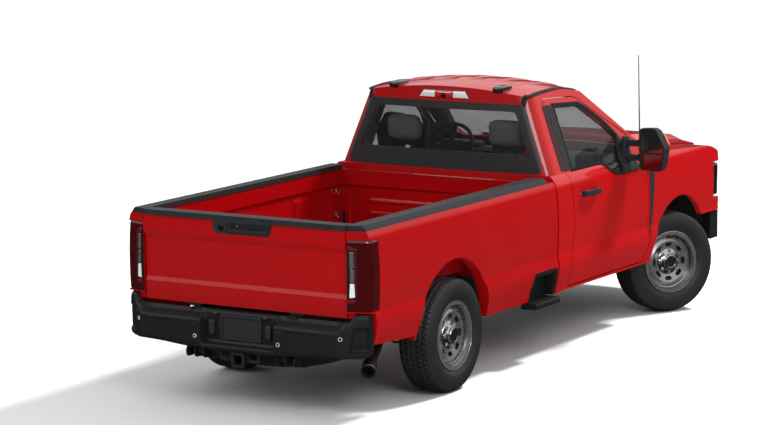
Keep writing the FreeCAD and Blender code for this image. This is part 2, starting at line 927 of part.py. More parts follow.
def fender_top_path(low_z):
    """Side view of a fender: its ridge falls forward and rounds over the lamp."""
    return [
        (d.door_front_y - d.shut_gap, d.fender_top_rear_z),
        (d.fender_ridge_y, d.fender_ridge_z),
        ((d.fender_ridge_y + d.fender_brow_y) / 2, (d.fender_ridge_z * 2 + d.fender_brow_z) / 3 + d.lip_depth, VIA),
        (d.fender_brow_y, d.fender_brow_z),
        (d.nose_y, d.headlamp_low_z + d.overrun / 2),
        (d.nose_y, low_z),
        (d.door_front_y - d.shut_gap, low_z),
    ]


def make_fender():
    """Left front fender with its wheel arch, open towards the engine bay."""
    half = d.waist_x + d.overrun
    rear = d.door_front_y - d.shut_gap
    nose = nose_wedge(d.nose_y, d.nose_sweep * (half / d.waist_x) ** 2, half, 0, TOP_Z)
    region = prism("YZ", fender_top_path(d.rocker_z), d.fender_inner_x, half)
    outer = side_prism(d.nose_y, rear).common([region]).common(nose)
    room = side_prism(d.nose_y, rear - d.hinge_height, d.fender_wall)
    ceiling = prism("YZ", fender_top_path(0), 0, half)
    ceiling.translate(Vector(0, d.fender_wall, -d.fender_wall))
    room = room.common(ceiling)
    arch = rod(
        Vector(d.overrun, d.front_arch_y, d.front_arch_z),
        Vector(half, d.front_arch_y, d.front_arch_z),
        d.front_arch_radius,
    )
    open_below = block(
        (d.overrun, half),
        (d.front_arch_y - d.front_arch_radius, d.front_arch_y + d.front_arch_radius),
        (0, d.front_arch_z),
    )
    ahead = block((0, half), (d.nose_y - d.overrun, d.front_arch_y), (0, d.fender_low_z))
    lamp = block(
        (0, half),
        (d.nose_y, d.nose_y + d.nose_sweep + d.grille_depth),
        (d.headlamp_low_z, d.fender_brow_z - d.fender_wall),
    )
    pillar_x = d.sill_board_inner_x + d.floor_wall + d.seat_gap
    pillar = block((0, pillar_x), (d.firewall_y - d.shut_gap, 0), (0, TOP_Z))
    pockets = []
    for z in (d.door_hinge_low_z, d.door_hinge_high_z):
        pockets.append(block(
            (0, d.waist_x - d.hinge_skin),
            (rear - d.door_hinge_ahead - d.hinge_eye_radius, rear),
            (z - d.hinge_plate - d.shut_gap, z + d.hinge_height + d.shut_gap),
        ))
    above = greenhouse(-d.hinge_plate / 2)
    return one(outer.cut([room, arch, open_below, ahead, lamp, pillar, above] + pockets))


def hood_surface(lift):
    """Everything under the bonnet's domed panel, turned about an axis far below."""
    centre_z = d.hood_crown_z - d.hood_length_radius
    half = d.hood_half_width
    crown = d.hood_crown_z + lift
    path = [
        (half, centre_z),
        (half, crown - d.hood_edge_drop),
        (d.hood_shoulder_x, crown - d.hood_shoulder_drop),
        (d.hood_crest_x, crown),
        (0, crown + d.hood_crest_rise, VIA),
    ]
    path = path[:4] + [(0, crown + d.hood_crest_rise, VIA)] + [(-x, z) for x, z in reversed(path[:4])]
    face = outline("XZ", d.hood_rear_y, path)
    return face.revolve(Vector(0, d.hood_rear_y, centre_z), X_AXIS, 360)


def make_bonnet():
    """Bonnet: a domed panel with two crests, turned down at its nose."""
    panel = hood_surface(0).cut(hood_surface(-d.hood_thickness))
    half = d.hood_half_width
    nose = nose_wedge(d.nose_y, d.nose_sweep * (half / d.waist_x) ** 2, half, 0, TOP_Z)
    low = d.hood_crown_z - d.overrun
    region = block((-half, half), (d.nose_y, d.hood_rear_y), (low, TOP_Z))
    panel = panel.common(region).common(nose)
    return one(panel.fuse([bonnet_ear(), flipped(bonnet_ear())]))


def make_grille():
    """Grille surround with three broad bars and a mesh of upright slats behind them."""
    half = d.grille_half_width
    sweep = d.nose_sweep * (half / d.waist_x) ** 2
    high = d.hood_crown_z - d.overrun / 2
    low = d.grille_low_z
    frame = nose_wedge(d.nose_y, sweep, half, low, high, d.grille_depth)
    inner = half - d.grille_bar
    opening = block((-inner, inner), (d.nose_y - d.overrun, 0), (low + d.grille_bar, high - d.grille_bar))
    frame = frame.cut(opening)
    pitch = (high - low - d.grille_bar) / 4
    bars = []
    for index in range(1, 4):
        base = low + index * pitch
        bars.append(nose_wedge(d.nose_y, sweep, half, base, base + d.grille_bar, d.grille_depth))
    frame = frame.fuse(bars)
    return one(frame)


def make_headlamp():
    """Left headlamp, filling the corner between grille and fender."""
    half = d.waist_x + d.overrun
    nose = nose_wedge(d.nose_y, d.nose_sweep * (half / d.waist_x) ** 2, half, 0, TOP_Z)
    gap = d.seat_gap
    lamp = block(
        (d.grille_half_width + gap, half),
        (d.nose_y, d.nose_y + d.nose_sweep + d.grille_depth - gap),
        (d.headlamp_low_z + gap, d.fender_brow_z - d.fender_wall - gap),
    )
    return one(side_prism(d.nose_y, 0).common(lamp).common(nose))


def make_front_bumper():
    """Front bumper, one bowed channel wrapping round both corners."""
    half = d.front_bumper_half_width
    outer = nose_wedge(
        FRONT_FACE_Y,
        d.front_bumper_sweep,
        half,
        d.front_bumper_low_z,
        d.front_bumper_top_z,
        d.front_bumper_depth,
    )
    corner = block(
        (half - d.overrun / 2, half + d.overrun),
        (FRONT_FACE_Y, 0),
        (0, d.front_bumper_end_low_z),
    )
    slot = block(
        (-d.grille_half_width + d.overrun / 2, d.grille_half_width - d.overrun / 2),
        (FRONT_FACE_Y - d.overrun, 0),
        (d.front_bumper_low_z + d.grille_bar, d.front_bumper_end_low_z + d.grille_bar),
    )
    return one(outer.cut([corner, flipped(corner), slot]))


def make_cowl():
    """Black panel between the bonnet's rear edge and the windscreen."""
    half = d.hood_half_width
    panel = block(
        (-half, half),
        (d.hood_rear_y + d.cowl_gap, d.firewall_y),
        (d.cab_base_z + d.seat_gap, d.cab_base_z + d.cowl_height),
    )
    return one(panel.cut(greenhouse(-d.seat_gap)))


# Load box


def box_path():
    """Side view of the load box's outer panel."""
    return [
        (d.box_front_y, d.rocker_z),
        (d.box_front_y, d.box_rail_z),
        (d.tail_corner_y, d.box_rail_z),
        (d.tail_corner_y, d.box_tail_z),
        (d.box_tail_lift_y, d.box_sill_z),
        (d.box_tail_lift_y, d.rocker_z),
    ]


def tail_plan(shrink=0):
    """Plan view of the tail: the rear corners sweep forward to the body side."""
    half = d.waist_x + d.overrun
    rear = d.tail_corner_y - shrink
    side = d.tail_side_y - shrink
    slope = (rear - side) / (d.waist_x - d.box_wall_x)
    edge_y = rear - slope * (half - d.box_wall_x)
    path = [
        (-half, 0),
        (half, 0),
        (half, edge_y),
        (d.box_wall_x, rear),
        (-d.box_wall_x, rear),
        (-half, edge_y),
    ]
    return prism("XY", path, 0, TOP_Z)


def make_box():
    """Load box: double side walls, front wall, ribbed floor and wheelhouses."""
    outer = side_prism(d.box_front_y, d.tail_corner_y + d.overrun)
    outer = outer.common(prism("YZ", box_path(), -d.waist_x - d.overrun, d.waist_x + d.overrun))
    outer = outer.common(tail_plan())
    load = block(
        (-d.box_wall_x, d.box_wall_x),
        (d.box_front_wall_y + d.box_front_wall, REAR_FACE_Y),
        (d.box_floor_z, TOP_Z),
    )
    floor_low = d.box_floor_z - d.box_floor_wall
    tail = block((-d.box_wall_x, d.box_wall_x), (d.box_rear_y, REAR_FACE_Y), (0, TOP_Z))
    under = block((-d.box_skirt_x, d.box_skirt_x), (0, REAR_FACE_Y), (0, floor_low))
    ahead = block((-d.box_wall_x, d.box_wall_x), (0, d.box_front_wall_y), (0, TOP_Z))
    half = d.waist_x + d.overrun
    arch_centre = Vector(0, d.rear_arch_y, d.rear_arch_z)
    houses = []
    wells = []
    for side in (1, -1):
        outward = Vector(side * (d.box_skirt_x + d.lip_depth), d.rear_arch_y, d.rear_arch_z)
        inward = Vector(side * d.wheelhouse_x, d.rear_arch_y, d.rear_arch_z)
        houses.append(rod(inward, outward, d.wheelhouse_radius))
        well_start = Vector(side * (d.wheelhouse_x + d.wheelhouse_wall), d.rear_arch_y, d.rear_arch_z)
        wells.append(rod(well_start, outward, d.wheelhouse_radius - d.wheelhouse_wall))
        wells.append(
            rod(
                arch_centre + X_AXIS * side * d.box_wall_x,
                Vector(side * half, d.rear_arch_y, d.rear_arch_z),
                d.rear_arch_radius,
            ),
        )
        wells.append(block(
            (side * (d.wheelhouse_x + d.wheelhouse_wall), side * half),
            (d.rear_arch_y - d.rear_arch_radius, d.rear_arch_y + d.rear_arch_radius),
            (0, d.rear_arch_z),
        ))
    corner = block(
        (d.rear_bumper_end_x - d.spindle_gap, half),
        (d.rear_bumper_side_y - d.spindle_gap, REAR_FACE_Y),
        (0, d.rear_bumper_end_top_z + d.seat_gap),
    )
    body = outer.cut([load, tail, under, ahead, corner, flipped(corner)])
    trims = block((-half, half), (0, REAR_FACE_Y), (0, floor_low))
    houses = [house.cut(trims) for house in houses]
    body = body.fuse(houses)
    lamp_cut = lamp_region(0)
    step_cut = step_region(0)
    body = body.cut(wells + [lamp_cut, flipped(lamp_cut), step_cut, flipped(step_cut)])
    hinge = Vector(0, d.tailgate_hinge_y, d.tailgate_hinge_z)
    pins = []
    for side in (1, -1):
        inner = hinge + X_AXIS * side * (d.tailgate_half_width - d.tailgate_pin_length)
        outer_end = hinge + X_AXIS * side * (d.box_wall_x + d.tailgate_pin_length)
        pins.append(rod(inner, outer_end, d.tailgate_pin_radius))
    post = block(
        (d.box_wall_x, d.rear_bumper_end_x - d.spindle_gap),
        (d.tailgate_hinge_y - d.tailgate_pin_radius * 3, d.tailgate_hinge_y + d.tailgate_pin_radius + d.seat_gap),
        (d.tailgate_bottom_z, d.lamp_low_z),
    )
    return one(body.fuse(pins + [post, flipped(post)]))


def lamp_region(gap):
    """Pocket of the left tail lamp in the box's rear corner."""
    return block(
        (d.tailgate_half_width + d.shut_gap + gap, d.waist_x + d.overrun),
        (d.lamp_side_y + gap, REAR_FACE_Y),
        (d.lamp_low_z + gap, d.lamp_high_z - gap),
    )


def make_tail_lamp():
    """Left tail lamp, wrapped round the corner and standing a little proud."""
    outer = side_prism(d.lamp_side_y - d.overrun, REAR_FACE_Y)
    outer = outer.common(tail_plan(-d.lamp_proud))
    return one(outer.common(lamp_region(d.seat_gap)))


def step_region(gap):
    """Opening of the left box step, behind the cab at the panel's lower edge."""
    path = rounded([
        (d.step_front_y - gap, 0),
        (d.step_front_y - gap, d.step_top_z + gap, d.step_tread),
        (d.step_rear_y - d.step_tread + gap, d.step_top_z + gap, d.step_tread),
        (d.step_rear_y + gap, d.sill_z, d.step_tread),
        (d.step_rear_y + gap, 0),
    ])
    return prism("YZ", path, d.box_skirt_x - d.lip_depth, d.waist_x + d.overrun)


def make_box_step():
    """Left box step: a black pocket in the panel with a tread below it."""
    gap = d.seat_gap
    lining = side_prism(d.step_front_y + gap, d.step_rear_y - gap).common(step_region(-gap))
    lining = lining.cut(block((0, d.box_skirt_x), (0, REAR_FACE_Y), (0, TOP_Z)))
    wall = d.step_wall
    room = block(
        (d.box_skirt_x + wall, d.waist_x + d.overrun),
        (d.step_front_y + wall * 3, d.step_rear_y - wall * 3),
        (d.step_low_z + d.step_tread, d.step_top_z - wall * 2),
    )
    tread = block(
        (d.box_skirt_x, d.step_outer_x),
        (d.step_front_y + wall, d.step_rear_y - wall),
        (d.step_low_z, d.step_low_z + d.step_tread),
    )
    tread = tread.makeFillet(wall, [edge for edge in tread.Edges if edge.CenterOfMass.x > d.waist_x])
    post = block(
        (d.box_skirt_x, d.box_skirt_x + wall),
        (d.step_front_y + wall * 3, d.step_rear_y - wall * 3),
        (d.step_low_z, d.sill_z),
    )
    return one(lining.cut(room).fuse([tread, post]))


def handle_bezel(gap):
    """Panel behind the tailgate's handle, narrower along its foot."""
    top = d.bezel_half_width + gap
    foot = d.bezel_foot_half_width + gap
    path = [
        (-top, d.box_rail_z + d.cap_height / 2),
        (top, d.box_rail_z + d.cap_height / 2),
        (top, d.tailgate_brow_z + (d.box_rail_z - d.tailgate_brow_z) / 2),
        (foot, d.bezel_low_z - gap),
        (-foot, d.bezel_low_z - gap),
        (-top, d.tailgate_brow_z + (d.box_rail_z - d.tailgate_brow_z) / 2),
    ]
    rear = d.tailgate_brow_y + d.bezel_proud
    return prism("XZ", path, rear - d.bezel_depth - gap, rear)


def make_tailgate():
    """Tailgate: one panel with a brow along its top and a fold along its foot."""
    path = [
        (d.tailgate_inner_y, d.tailgate_bottom_z),
        (d.tailgate_inner_y, d.box_rail_z),
        (d.tailgate_brow_y - d.lip_depth, d.box_rail_z),
        (d.tailgate_brow_y, d.tailgate_brow_z),
        (d.tailgate_face_y, d.tailgate_brow_low_z),
        (d.tailgate_face_y - d.lip_depth / 2, d.tailgate_fold_high_z),
        (d.tailgate_face_y + d.lip_depth / 2, d.tailgate_fold_low_z),
        (d.tailgate_face_y, d.tailgate_bottom_z),
    ]
    panel = prism("YZ", path, -d.tailgate_half_width, d.tailgate_half_width)
    hinge = Vector(0, d.tailgate_hinge_y, d.tailgate_hinge_z)
    bores = []
    for side in (1, -1):
        inner = hinge + X_AXIS * side * (d.tailgate_half_width - d.tailgate_pin_length - d.seat_gap)
        bores.append(rod(inner, hinge + X_AXIS * side * d.waist_x, d.tailgate_pin_radius + d.seat_gap))
    return one(panel.cut(bores + [handle_bezel(d.seat_gap)]))


def make_tailgate_cap():
    """Black cap along the tailgate's top, with the handle's bezel below its middle."""
    gap = d.seat_gap
    cap = block(
        (-d.tailgate_half_width, d.tailgate_half_width),
        (d.tailgate_inner_y - gap, d.tailgate_brow_y),
        (d.box_rail_z + gap, d.belt_z),
    )
    return one(cap.fuse(handle_bezel(0)))


def make_rail_cap():
    """Black cap along the left box wall."""
    gap = d.seat_gap
    region = block(
        (d.cap_inner_x, d.waist_x + d.overrun),
        (d.box_front_wall_y + d.cap_height, d.tail_corner_y),
        (d.box_rail_z + gap, d.belt_z),
    )
    return one(side_prism(0, d.tail_corner_y).common(region).common(tail_plan(d.lip_depth)))


# Bumper and hitch at the rear


def rear_bumper_plan(shrink):
    """Plan of the rear bumper, flat across and swept forward at its corners."""
    half = d.rear_bumper_half_width - shrink
    face = REAR_FACE_Y - shrink
    return [
        (-half, d.rear_bumper_side_y + shrink),
        (-half, d.rear_bumper_corner_y - d.overrun / 4),
        (-d.rear_bumper_flat_x, face),
        (d.rear_bumper_flat_x, face),
        (half, d.rear_bumper_corner_y - d.overrun / 4),
        (half, d.rear_bumper_side_y + shrink),
    ]


def make_rear_bumper():
    """Rear step bumper with a plate recess and raised ends."""
    half = d.rear_bumper_half_width
    far = REAR_FACE_Y + d.overrun
    inner = REAR_FACE_Y - d.rear_bumper_depth
    whole = prism("XY", rear_bumper_plan(0), d.rear_bumper_bottom_z, d.rear_bumper_end_top_z)
    behind = block((-d.rear_bumper_end_x, d.rear_bumper_end_x), (0, inner), (0, TOP_Z))
    wall = d.grille_bar
    hollow = block((-half + wall, half - wall), (0, inner), (0, d.rear_bumper_step_z))
    steps = block((-d.rear_bumper_end_x, d.rear_bumper_end_x), (0, far), (d.rear_bumper_step_z, TOP_Z))
    recess = block(
        (-d.plate_recess_half_width, d.plate_recess_half_width),
        (REAR_FACE_Y - d.plate_recess_depth, far),
        (d.plate_recess_low_z, d.rear_bumper_step_z - d.lip_depth * 2),
    )
    corner = block((d.rear_bumper_flat_x, half + wall), (0, far), (0, d.rear_bumper_end_bottom_z))
    return one(whole.cut([behind, hollow, steps, recess, corner, flipped(corner)]))


# Chassis


def rail_path(shrink=0):
    """Side view of a frame rail, dropped under the cab and raised over the rear axle."""
    front, middle, rear = d.rail_front_top_z, d.rail_mid_top_z, d.rail_rear_top_z
    top = [
        (d.rail_front_y - d.overrun, front),
        (d.rail_drop_front_y, front),
        (d.rail_drop_rear_y, middle),
        (d.rail_rise_front_y, middle),
        (d.rail_rise_rear_y, rear),
        (REAR_FACE_Y - d.rear_bumper_depth - d.seat_gap, rear),
    ]
    top = [(y, z - shrink) for y, z in top]
    return top + [(y, z - d.rail_height + 2 * shrink) for y, z in reversed(top)]


def cross_place(y):
    """Top of the frame rails at a place along the vehicle."""
    top = rail_path()
    places = top[:len(top) // 2]
    for (start_y, start_z), (end_y, end_z) in zip(places, places[1:]):
        if start_y <= y <= end_y:
            return start_z + (end_z - start_z) * (y - start_y) / (end_y - start_y)
    return places[-1][1]


def make_frame():
    """Ladder frame: two open channels, cross-members and the mounts on top of them."""
    inner = d.rail_outer_x - d.rail_width
    behind_bumper = nose_wedge(
        FRONT_FACE_Y + d.front_bumper_depth + d.seat_gap,
        d.front_bumper_sweep,
        d.front_bumper_half_width,
        0,
        TOP_Z,
    )
    behind_bumper = behind_bumper.fuse(block((-d.waist_x, d.waist_x), (-d.overrun, REAR_FACE_Y), (0, TOP_Z)))
    rail = prism("YZ", rail_path(), inner, d.rail_outer_x).common(behind_bumper)
    channel = prism("YZ", rail_path(d.rail_wall), inner - d.rail_wall, d.rail_outer_x - d.rail_wall)
    rail = rail.cut(channel)
    pieces = [rail, flipped(rail)]
    reach = d.rail_outer_x - d.rail_wall
    for y in (
        d.radiator_front_y,
        d.gearbox_rear_y,
        d.muffler_rear_y,
        d.spare_y - d.overrun,
        d.spare_y,
        d.hitch_y,
    ):
        top = cross_place(y) - d.rail_wall
        low = top - d.crossmember_height
        if y == d.radiator_front_y:
            top += d.rail_wall
        pieces.append(block((-reach, reach), (y, y + d.crossmember_depth), (low, top)))
    floor_low = d.box_floor_z - d.box_floor_wall - d.seat_gap
    cab_low = d.floor_top_z - d.floor_wall - d.seat_gap
    pads = [(d.firewall_y + d.pad_length, cab_low), (-d.pad_length * 3, cab_low)]
    rear_pads = (
        d.rail_rise_rear_y - d.overrun * 2,
        d.rail_rise_rear_y,
        d.spare_y - d.overrun,
        d.hitch_y - d.pad_length,
    )
    pads += [(y, floor_low) for y in rear_pads]
    for y, high in pads:
        for side in (1, -1):
            low = cross_place(y) - d.rail_wall
            pieces.append(block(
                (side * inner, side * d.rail_outer_x),
                (y, y + d.pad_length),
                (min(low, cross_place(y + d.pad_length) - d.rail_wall), high),
            ))
    carrier_z = d.spare_z + d.hub_seat_offset - d.rim_thickness - d.seat_gap
    carrier_y = d.spare_y + d.crossmember_depth / 2
    rope = rod(
        Vector(0, carrier_y, carrier_z),
        Vector(0, carrier_y, cross_place(d.spare_y) - d.crossmember_height),
        d.lug_radius,
    )
    plate = block(
        (d.lug_radius - d.hub_seat_radius, d.hub_seat_radius - d.lug_radius),
        (d.spare_y, d.spare_y + d.crossmember_depth),
        (carrier_z - d.lip_depth, carrier_z),
    )
    body = pieces[0].fuse(pieces[1:] + [rope, plate])
    return one(body)


def make_hitch():
    """Receiver with its square socket, cross tube and the plates that hang it."""
    half = d.receiver_bore / 2
    outer = half + d.receiver_wall
    z = d.receiver_z
    tube = block(
        (-outer, outer),
        (d.receiver_rear_y - d.receiver_length, d.receiver_rear_y),
        (z - outer, z + outer),
    )
    socket = block((-half, half), (d.receiver_rear_y - d.receiver_length, REAR_FACE_Y), (z - half, z + half))
    reach = d.rail_outer_x + d.seat_gap
    across = block(
        (-reach - d.hitch_plate, reach + d.hitch_plate),
        (d.hitch_y, d.hitch_y + d.hitch_tube),
        (z - d.hitch_tube / 2, z + d.hitch_tube / 2),
    )
    plate = block(
        (reach, reach + d.hitch_plate),
        (d.hitch_y - d.hitch_tube, d.hitch_y + d.hitch_tube),
        (z - d.hitch_tube / 2, d.rail_rear_top_z - d.rail_height / 2),
    )
    return one(tube.fuse([across, plate, flipped(plate)]).cut(socket))


def axle_end(x, y, side, track):
    """Spindle at the end of an axle, in the bore of its hub."""
    z = d.tyre_radius
    start = side * (track / 2 + d.hub_start - d.spindle_gap)
    end = side * (track / 2 + d.hub_start + d.spindle_length)
    return rod(Vector(start, y, z), Vector(end, y, z), d.spindle_radius)


def make_rear_axle():
    """Rear axle: tubes, a round differential with its cover, and both spindles."""
    y = REAR_AXLE_Y
    z = d.tyre_radius
    half = d.rear_track / 2 + d.hub_start - d.spindle_gap
    tube = rod(Vector(-half, y, z), Vector(half, y, z), d.axle_tube_radius)
    case = rod(Vector(-d.diff_width / 2, y, z), Vector(d.diff_width / 2, y, z), d.diff_radius)
    case = case.makeChamfer(d.diff_radius / 2.5, case.Edges)
    nose = rod(Vector(0, y, z), Vector(0, y - d.diff_radius * 2, z), d.diff_radius / 2)
    ends = [axle_end(0, y, side, d.rear_track) for side in (1, -1)]
    return one(tube.fuse([case, nose] + ends))


def make_front_axle():
    """Front axle: tube, offset differential and a yoke at each end for the kingpins."""
    y = FRONT_AXLE_Y
    z = d.tyre_radius
    neck = d.kingpin_half_span - d.knuckle_half_height
    tube = rod(Vector(-neck, y, z), Vector(neck, y, z), d.axle_tube_radius)
    case = rod(
        Vector(d.front_diff_x - d.front_diff_radius, y, z),
        Vector(d.front_diff_x + d.front_diff_radius, y, z),
        d.front_diff_radius,
    )
    case = case.makeChamfer(d.front_diff_radius / 2.5, case.Edges)
    nose = rod(
        Vector(d.front_diff_x, y, z),
        Vector(d.front_diff_x, y + d.front_diff_radius * 2, z),
        d.front_diff_radius / 2,
    )
    pieces = [case, nose]
    low = d.knuckle_half_height + d.spindle_gap
    high = low + d.yoke_height
    for side in (1, -1):
        plate = block(
            (side * (neck - d.yoke_height), side * neck),
            (y - d.axle_tube_radius, y + d.axle_tube_radius),
            (z - high, z + high),
        )
        pieces.append(plate)
        for base in (z + low, z - high):
            arm = block(
                (side * (neck - d.yoke_height), side * d.kingpin_half_span),
                (y - d.yoke_radius, y + d.yoke_radius),
                (base, base + d.yoke_height),
            )
            boss = Part.makeCylinder(
                d.yoke_radius,
                d.yoke_height,
                Vector(side * d.kingpin_half_span, y, base),
            )
            pieces += [arm, boss]
    axle = tube.fuse(pieces)
    pins = []
    for side in (1, -1):
        foot = Vector(side * d.kingpin_half_span, y, z - high - d.yoke_height)
        pins.append(Part.makeCylinder(d.kingpin_radius + d.seat_gap, (high + d.yoke_height) * 2, foot))
    return one(axle.cut(pins))


def make_knuckle(side):
    """Knuckle with its kingpins and the spindle that the front hub turns on."""
    z = d.tyre_radius
    y = FRONT_AXLE_Y
    pin_x = side * d.kingpin_half_span
    hub_face = d.front_track / 2 + d.hub_start
    high = d.knuckle_half_height
    column = block(
        (pin_x - side * d.yoke_radius, side * (hub_face - d.spindle_gap)),
        (y - d.knuckle_half_depth, y + d.knuckle_half_depth),
        (z - high, z + high),
    )
    pin_end = high + d.spindle_gap + d.kingpin_length
    pins = Part.makeCylinder(d.kingpin_radius, pin_end * 2, Vector(pin_x, y, z - pin_end))
    spindle = rod(
        Vector(side * (hub_face - d.spindle_gap), y, z),
        Vector(side * (hub_face + d.spindle_length), y, z),
        d.spindle_radius,
    )
    body = one(column.fuse([pins, spindle]))
    return body.rotate(Vector(pin_x, y, z), Z_AXIS, -d.steer_angle)


def make_suspension():
    """Rear leaf packs with their hangers, front coils on their seats, and dampers."""
    y = REAR_AXLE_Y
    gap = d.seat_gap
    axle_top = d.tyre_radius + d.axle_tube_radius + gap
    low = axle_top
    inner = d.rail_outer_x + gap
    spring_x = (inner + d.spring_x) / 2
    end_z = low + d.spring_camber
    length = d.spring_half_length
    band = [
        (y - length, end_z),
        (y, low, VIA),
        (y + length, end_z),
        (y + length, end_z + d.shock_radius),
        (y, low + d.spring_height, VIA),
        (y - length, end_z + d.shock_radius),
    ]
    leaf = prism("YZ", band, inner + d.lip_depth, inner + d.lip_depth + d.spring_width)
    pieces = [leaf]
    for end in (y - length, y + length):
        hanger = block(
            (inner, inner + d.lip_depth + d.spring_width),
            (end - d.shock_radius, end + d.shock_radius),
            (end_z, end_z + d.shock_radius * 2),
        )
        pieces.append(hanger)
    rear = one(pieces[0].fuse(pieces[1:]))
    front_y = FRONT_AXLE_Y
    coil_base = Vector(d.coil_x, front_y, axle_top)
    coil = Part.makeCylinder(d.coil_radius, d.coil_seat_z - axle_top, coil_base)
    tower = block(
        (inner, d.coil_x + d.coil_radius),
        (front_y - d.coil_radius, front_y + d.coil_radius),
        (d.coil_seat_z - gap, d.coil_seat_z + d.lip_depth),
    )
    front = one(coil.fuse(tower))
    return Part.makeCompound([rear, flipped(rear), front, flipped(front)])


def bent_rod(points, radius):
    """A round pipe through points, its corners filled by balls."""
    runs = [rod(start, end, radius) for start, end in zip(points, points[1:])]
    balls = [Part.makeSphere(radius, point) for point in points[1:-1]]
    return runs[0].fuse(runs[1:] + balls)


def make_exhaust():
    """Exhaust on the right: muffler, pipe over the rear axle and the tip behind the wheel."""
    x = -d.exhaust_x
    outer_x = -d.exhaust_outer_x
    points = [
        Vector(x, d.gearbox_rear_y - d.overrun, d.exhaust_low_z),
        Vector(x, d.muffler_rear_y + d.overrun / 4, d.exhaust_low_z),
        Vector(outer_x, d.rail_rise_rear_y, d.exhaust_low_z - d.shock_radius),
        Vector(outer_x, REAR_AXLE_Y - d.overrun, d.exhaust_low_z),
        Vector(outer_x, REAR_AXLE_Y - d.overrun / 3, d.exhaust_high_z),
        Vector(outer_x, REAR_AXLE_Y + d.overrun / 3, d.exhaust_high_z),
        Vector(outer_x, REAR_AXLE_Y + d.overrun, d.exhaust_low_z),
        Vector(-d.tip_x + d.overrun / 4, d.tip_y - d.overrun / 2, d.tip_z + d.shock_radius),
        Vector(-d.tip_x, d.tip_y, d.tip_z),
    ]
    pipe = bent_rod(points, d.exhaust_radius)
    muffler = rod(
        Vector(x, d.muffler_front_y, d.exhaust_low_z),
        Vector(x, d.muffler_rear_y, d.exhaust_low_z),
        d.muffler_radius,
    )
    tip_dir = (points[-1] - points[-2]).normalize()
    tip = rod(points[-1] - tip_dir * d.tip_radius * 3, points[-1], d.tip_radius)
    bore = rod(points[-1] - tip_dir * d.tip_radius * 2, points[-1] + tip_dir * d.tip_radius, d.exhaust_radius)
    hanger_y = d.muffler_front_y - d.crossmember_depth
    hanger_top = d.rail_mid_top_z - d.rail_height - d.seat_gap
    hanger = block(
        (-d.rail_outer_x + d.shock_radius, x),
        (hanger_y, hanger_y + d.lip_depth * 2),
        (hanger_top - d.lip_depth * 2, hanger_top),
    )
    return one(pipe.fuse([muffler, tip, hanger]).cut(bore))


def make_driveline():
    """Gearbox and transfer case with the shafts to both axles."""
    half = d.gearbox_half_width
    case = block(
        (-half, half),
        (d.engine_rear_y + d.seat_gap, d.gearbox_rear_y),
        (d.gearbox_low_z, d.gearbox_high_z),
    )
    rear_end = REAR_AXLE_Y - d.diff_radius * 2
    front_end = FRONT_AXLE_Y + d.front_diff_radius * 2
    mid_z = (d.gearbox_low_z + d.gearbox_high_z) / 2
    rear_shaft = rod(
        Vector(0, d.gearbox_rear_y - d.lip_depth, mid_z),
        Vector(0, rear_end, d.tyre_radius),
        d.shaft_radius,
    )
    front_shaft = rod(
        Vector(d.front_diff_x - d.lip_depth, d.engine_rear_y + d.overrun / 2, mid_z),
        Vector(d.front_diff_x - d.lip_depth, front_end, d.tyre_radius),
        d.shaft_radius / 2,
    )
    between = block((-half, half), (front_end + d.seat_gap, rear_end - d.seat_gap), (0, TOP_Z))
    seat_top = cross_place(d.gearbox_rear_y) - d.rail_wall - d.crossmember_height
    seat = block(
        (-half, half),
        (d.gearbox_rear_y, d.gearbox_rear_y + d.crossmember_depth),
        (seat_top - d.lip_depth * 2, seat_top - d.seat_gap),
    )
    return one(case.fuse([rear_shaft, front_shaft, seat]).common(between))


def make_engine():
    """Engine as one block with its rocker covers, and the radiator behind the grille."""
    half = d.engine_half_width
    block_top = (d.engine_low_z + d.engine_high_z) / 2
    low = block((-half, half), (d.engine_front_y, d.engine_rear_y), (d.engine_low_z, block_top))
    high = block((-half / 2, half / 2), (d.engine_front_y, d.engine_rear_y), (block_top, d.engine_high_z))
    mount = block(
        (-d.rail_outer_x + d.rail_width + d.rail_wall, d.rail_outer_x - d.rail_width - d.rail_wall),
        (d.engine_front_y + d.crossmember_depth, d.engine_front_y + d.crossmember_depth * 2),
        (d.engine_low_z, d.rail_front_top_z - d.rail_wall),
    )
    feet = block(
        (-d.rail_outer_x + d.rail_wall + d.seat_gap, d.rail_outer_x - d.rail_wall - d.seat_gap),
        (d.engine_front_y + d.crossmember_depth, d.engine_front_y + d.crossmember_depth * 2),
        (d.engine_low_z, d.engine_low_z + d.crossmember_height / 2),
    )
    engine = one(low.fuse([high, mount, feet]))
    width = d.radiator_half_width
    radiator = block(
        (-width, width),
        (d.radiator_front_y + d.lip_depth, d.radiator_front_y + d.lip_depth + d.radiator_thickness),
        (cross_place(d.radiator_front_y) + d.seat_gap, d.radiator_high_z),
    )
    return Part.makeCompound([engine, radiator])


def make_fuel_tank():
    """Fuel tank hung outside the left frame rail."""
    low = d.tank_low_z
    high = d.rail_mid_top_z - d.lip_depth
    tank = block((d.tank_inner_x, d.tank_outer_x), (d.tank_front_y, d.tank_rear_y), (low, high))
    tank = tank.makeFillet(d.shock_radius, tank.Edges)
    strap = block(
        (d.rail_outer_x + d.seat_gap, d.tank_inner_x + d.shock_radius),
        (d.tank_front_y + d.overrun, d.tank_front_y + d.overrun + d.shock_radius * 2),
        (low + d.crossmember_height, high - d.shock_radius),
    )
    return one(tank.fuse(strap))


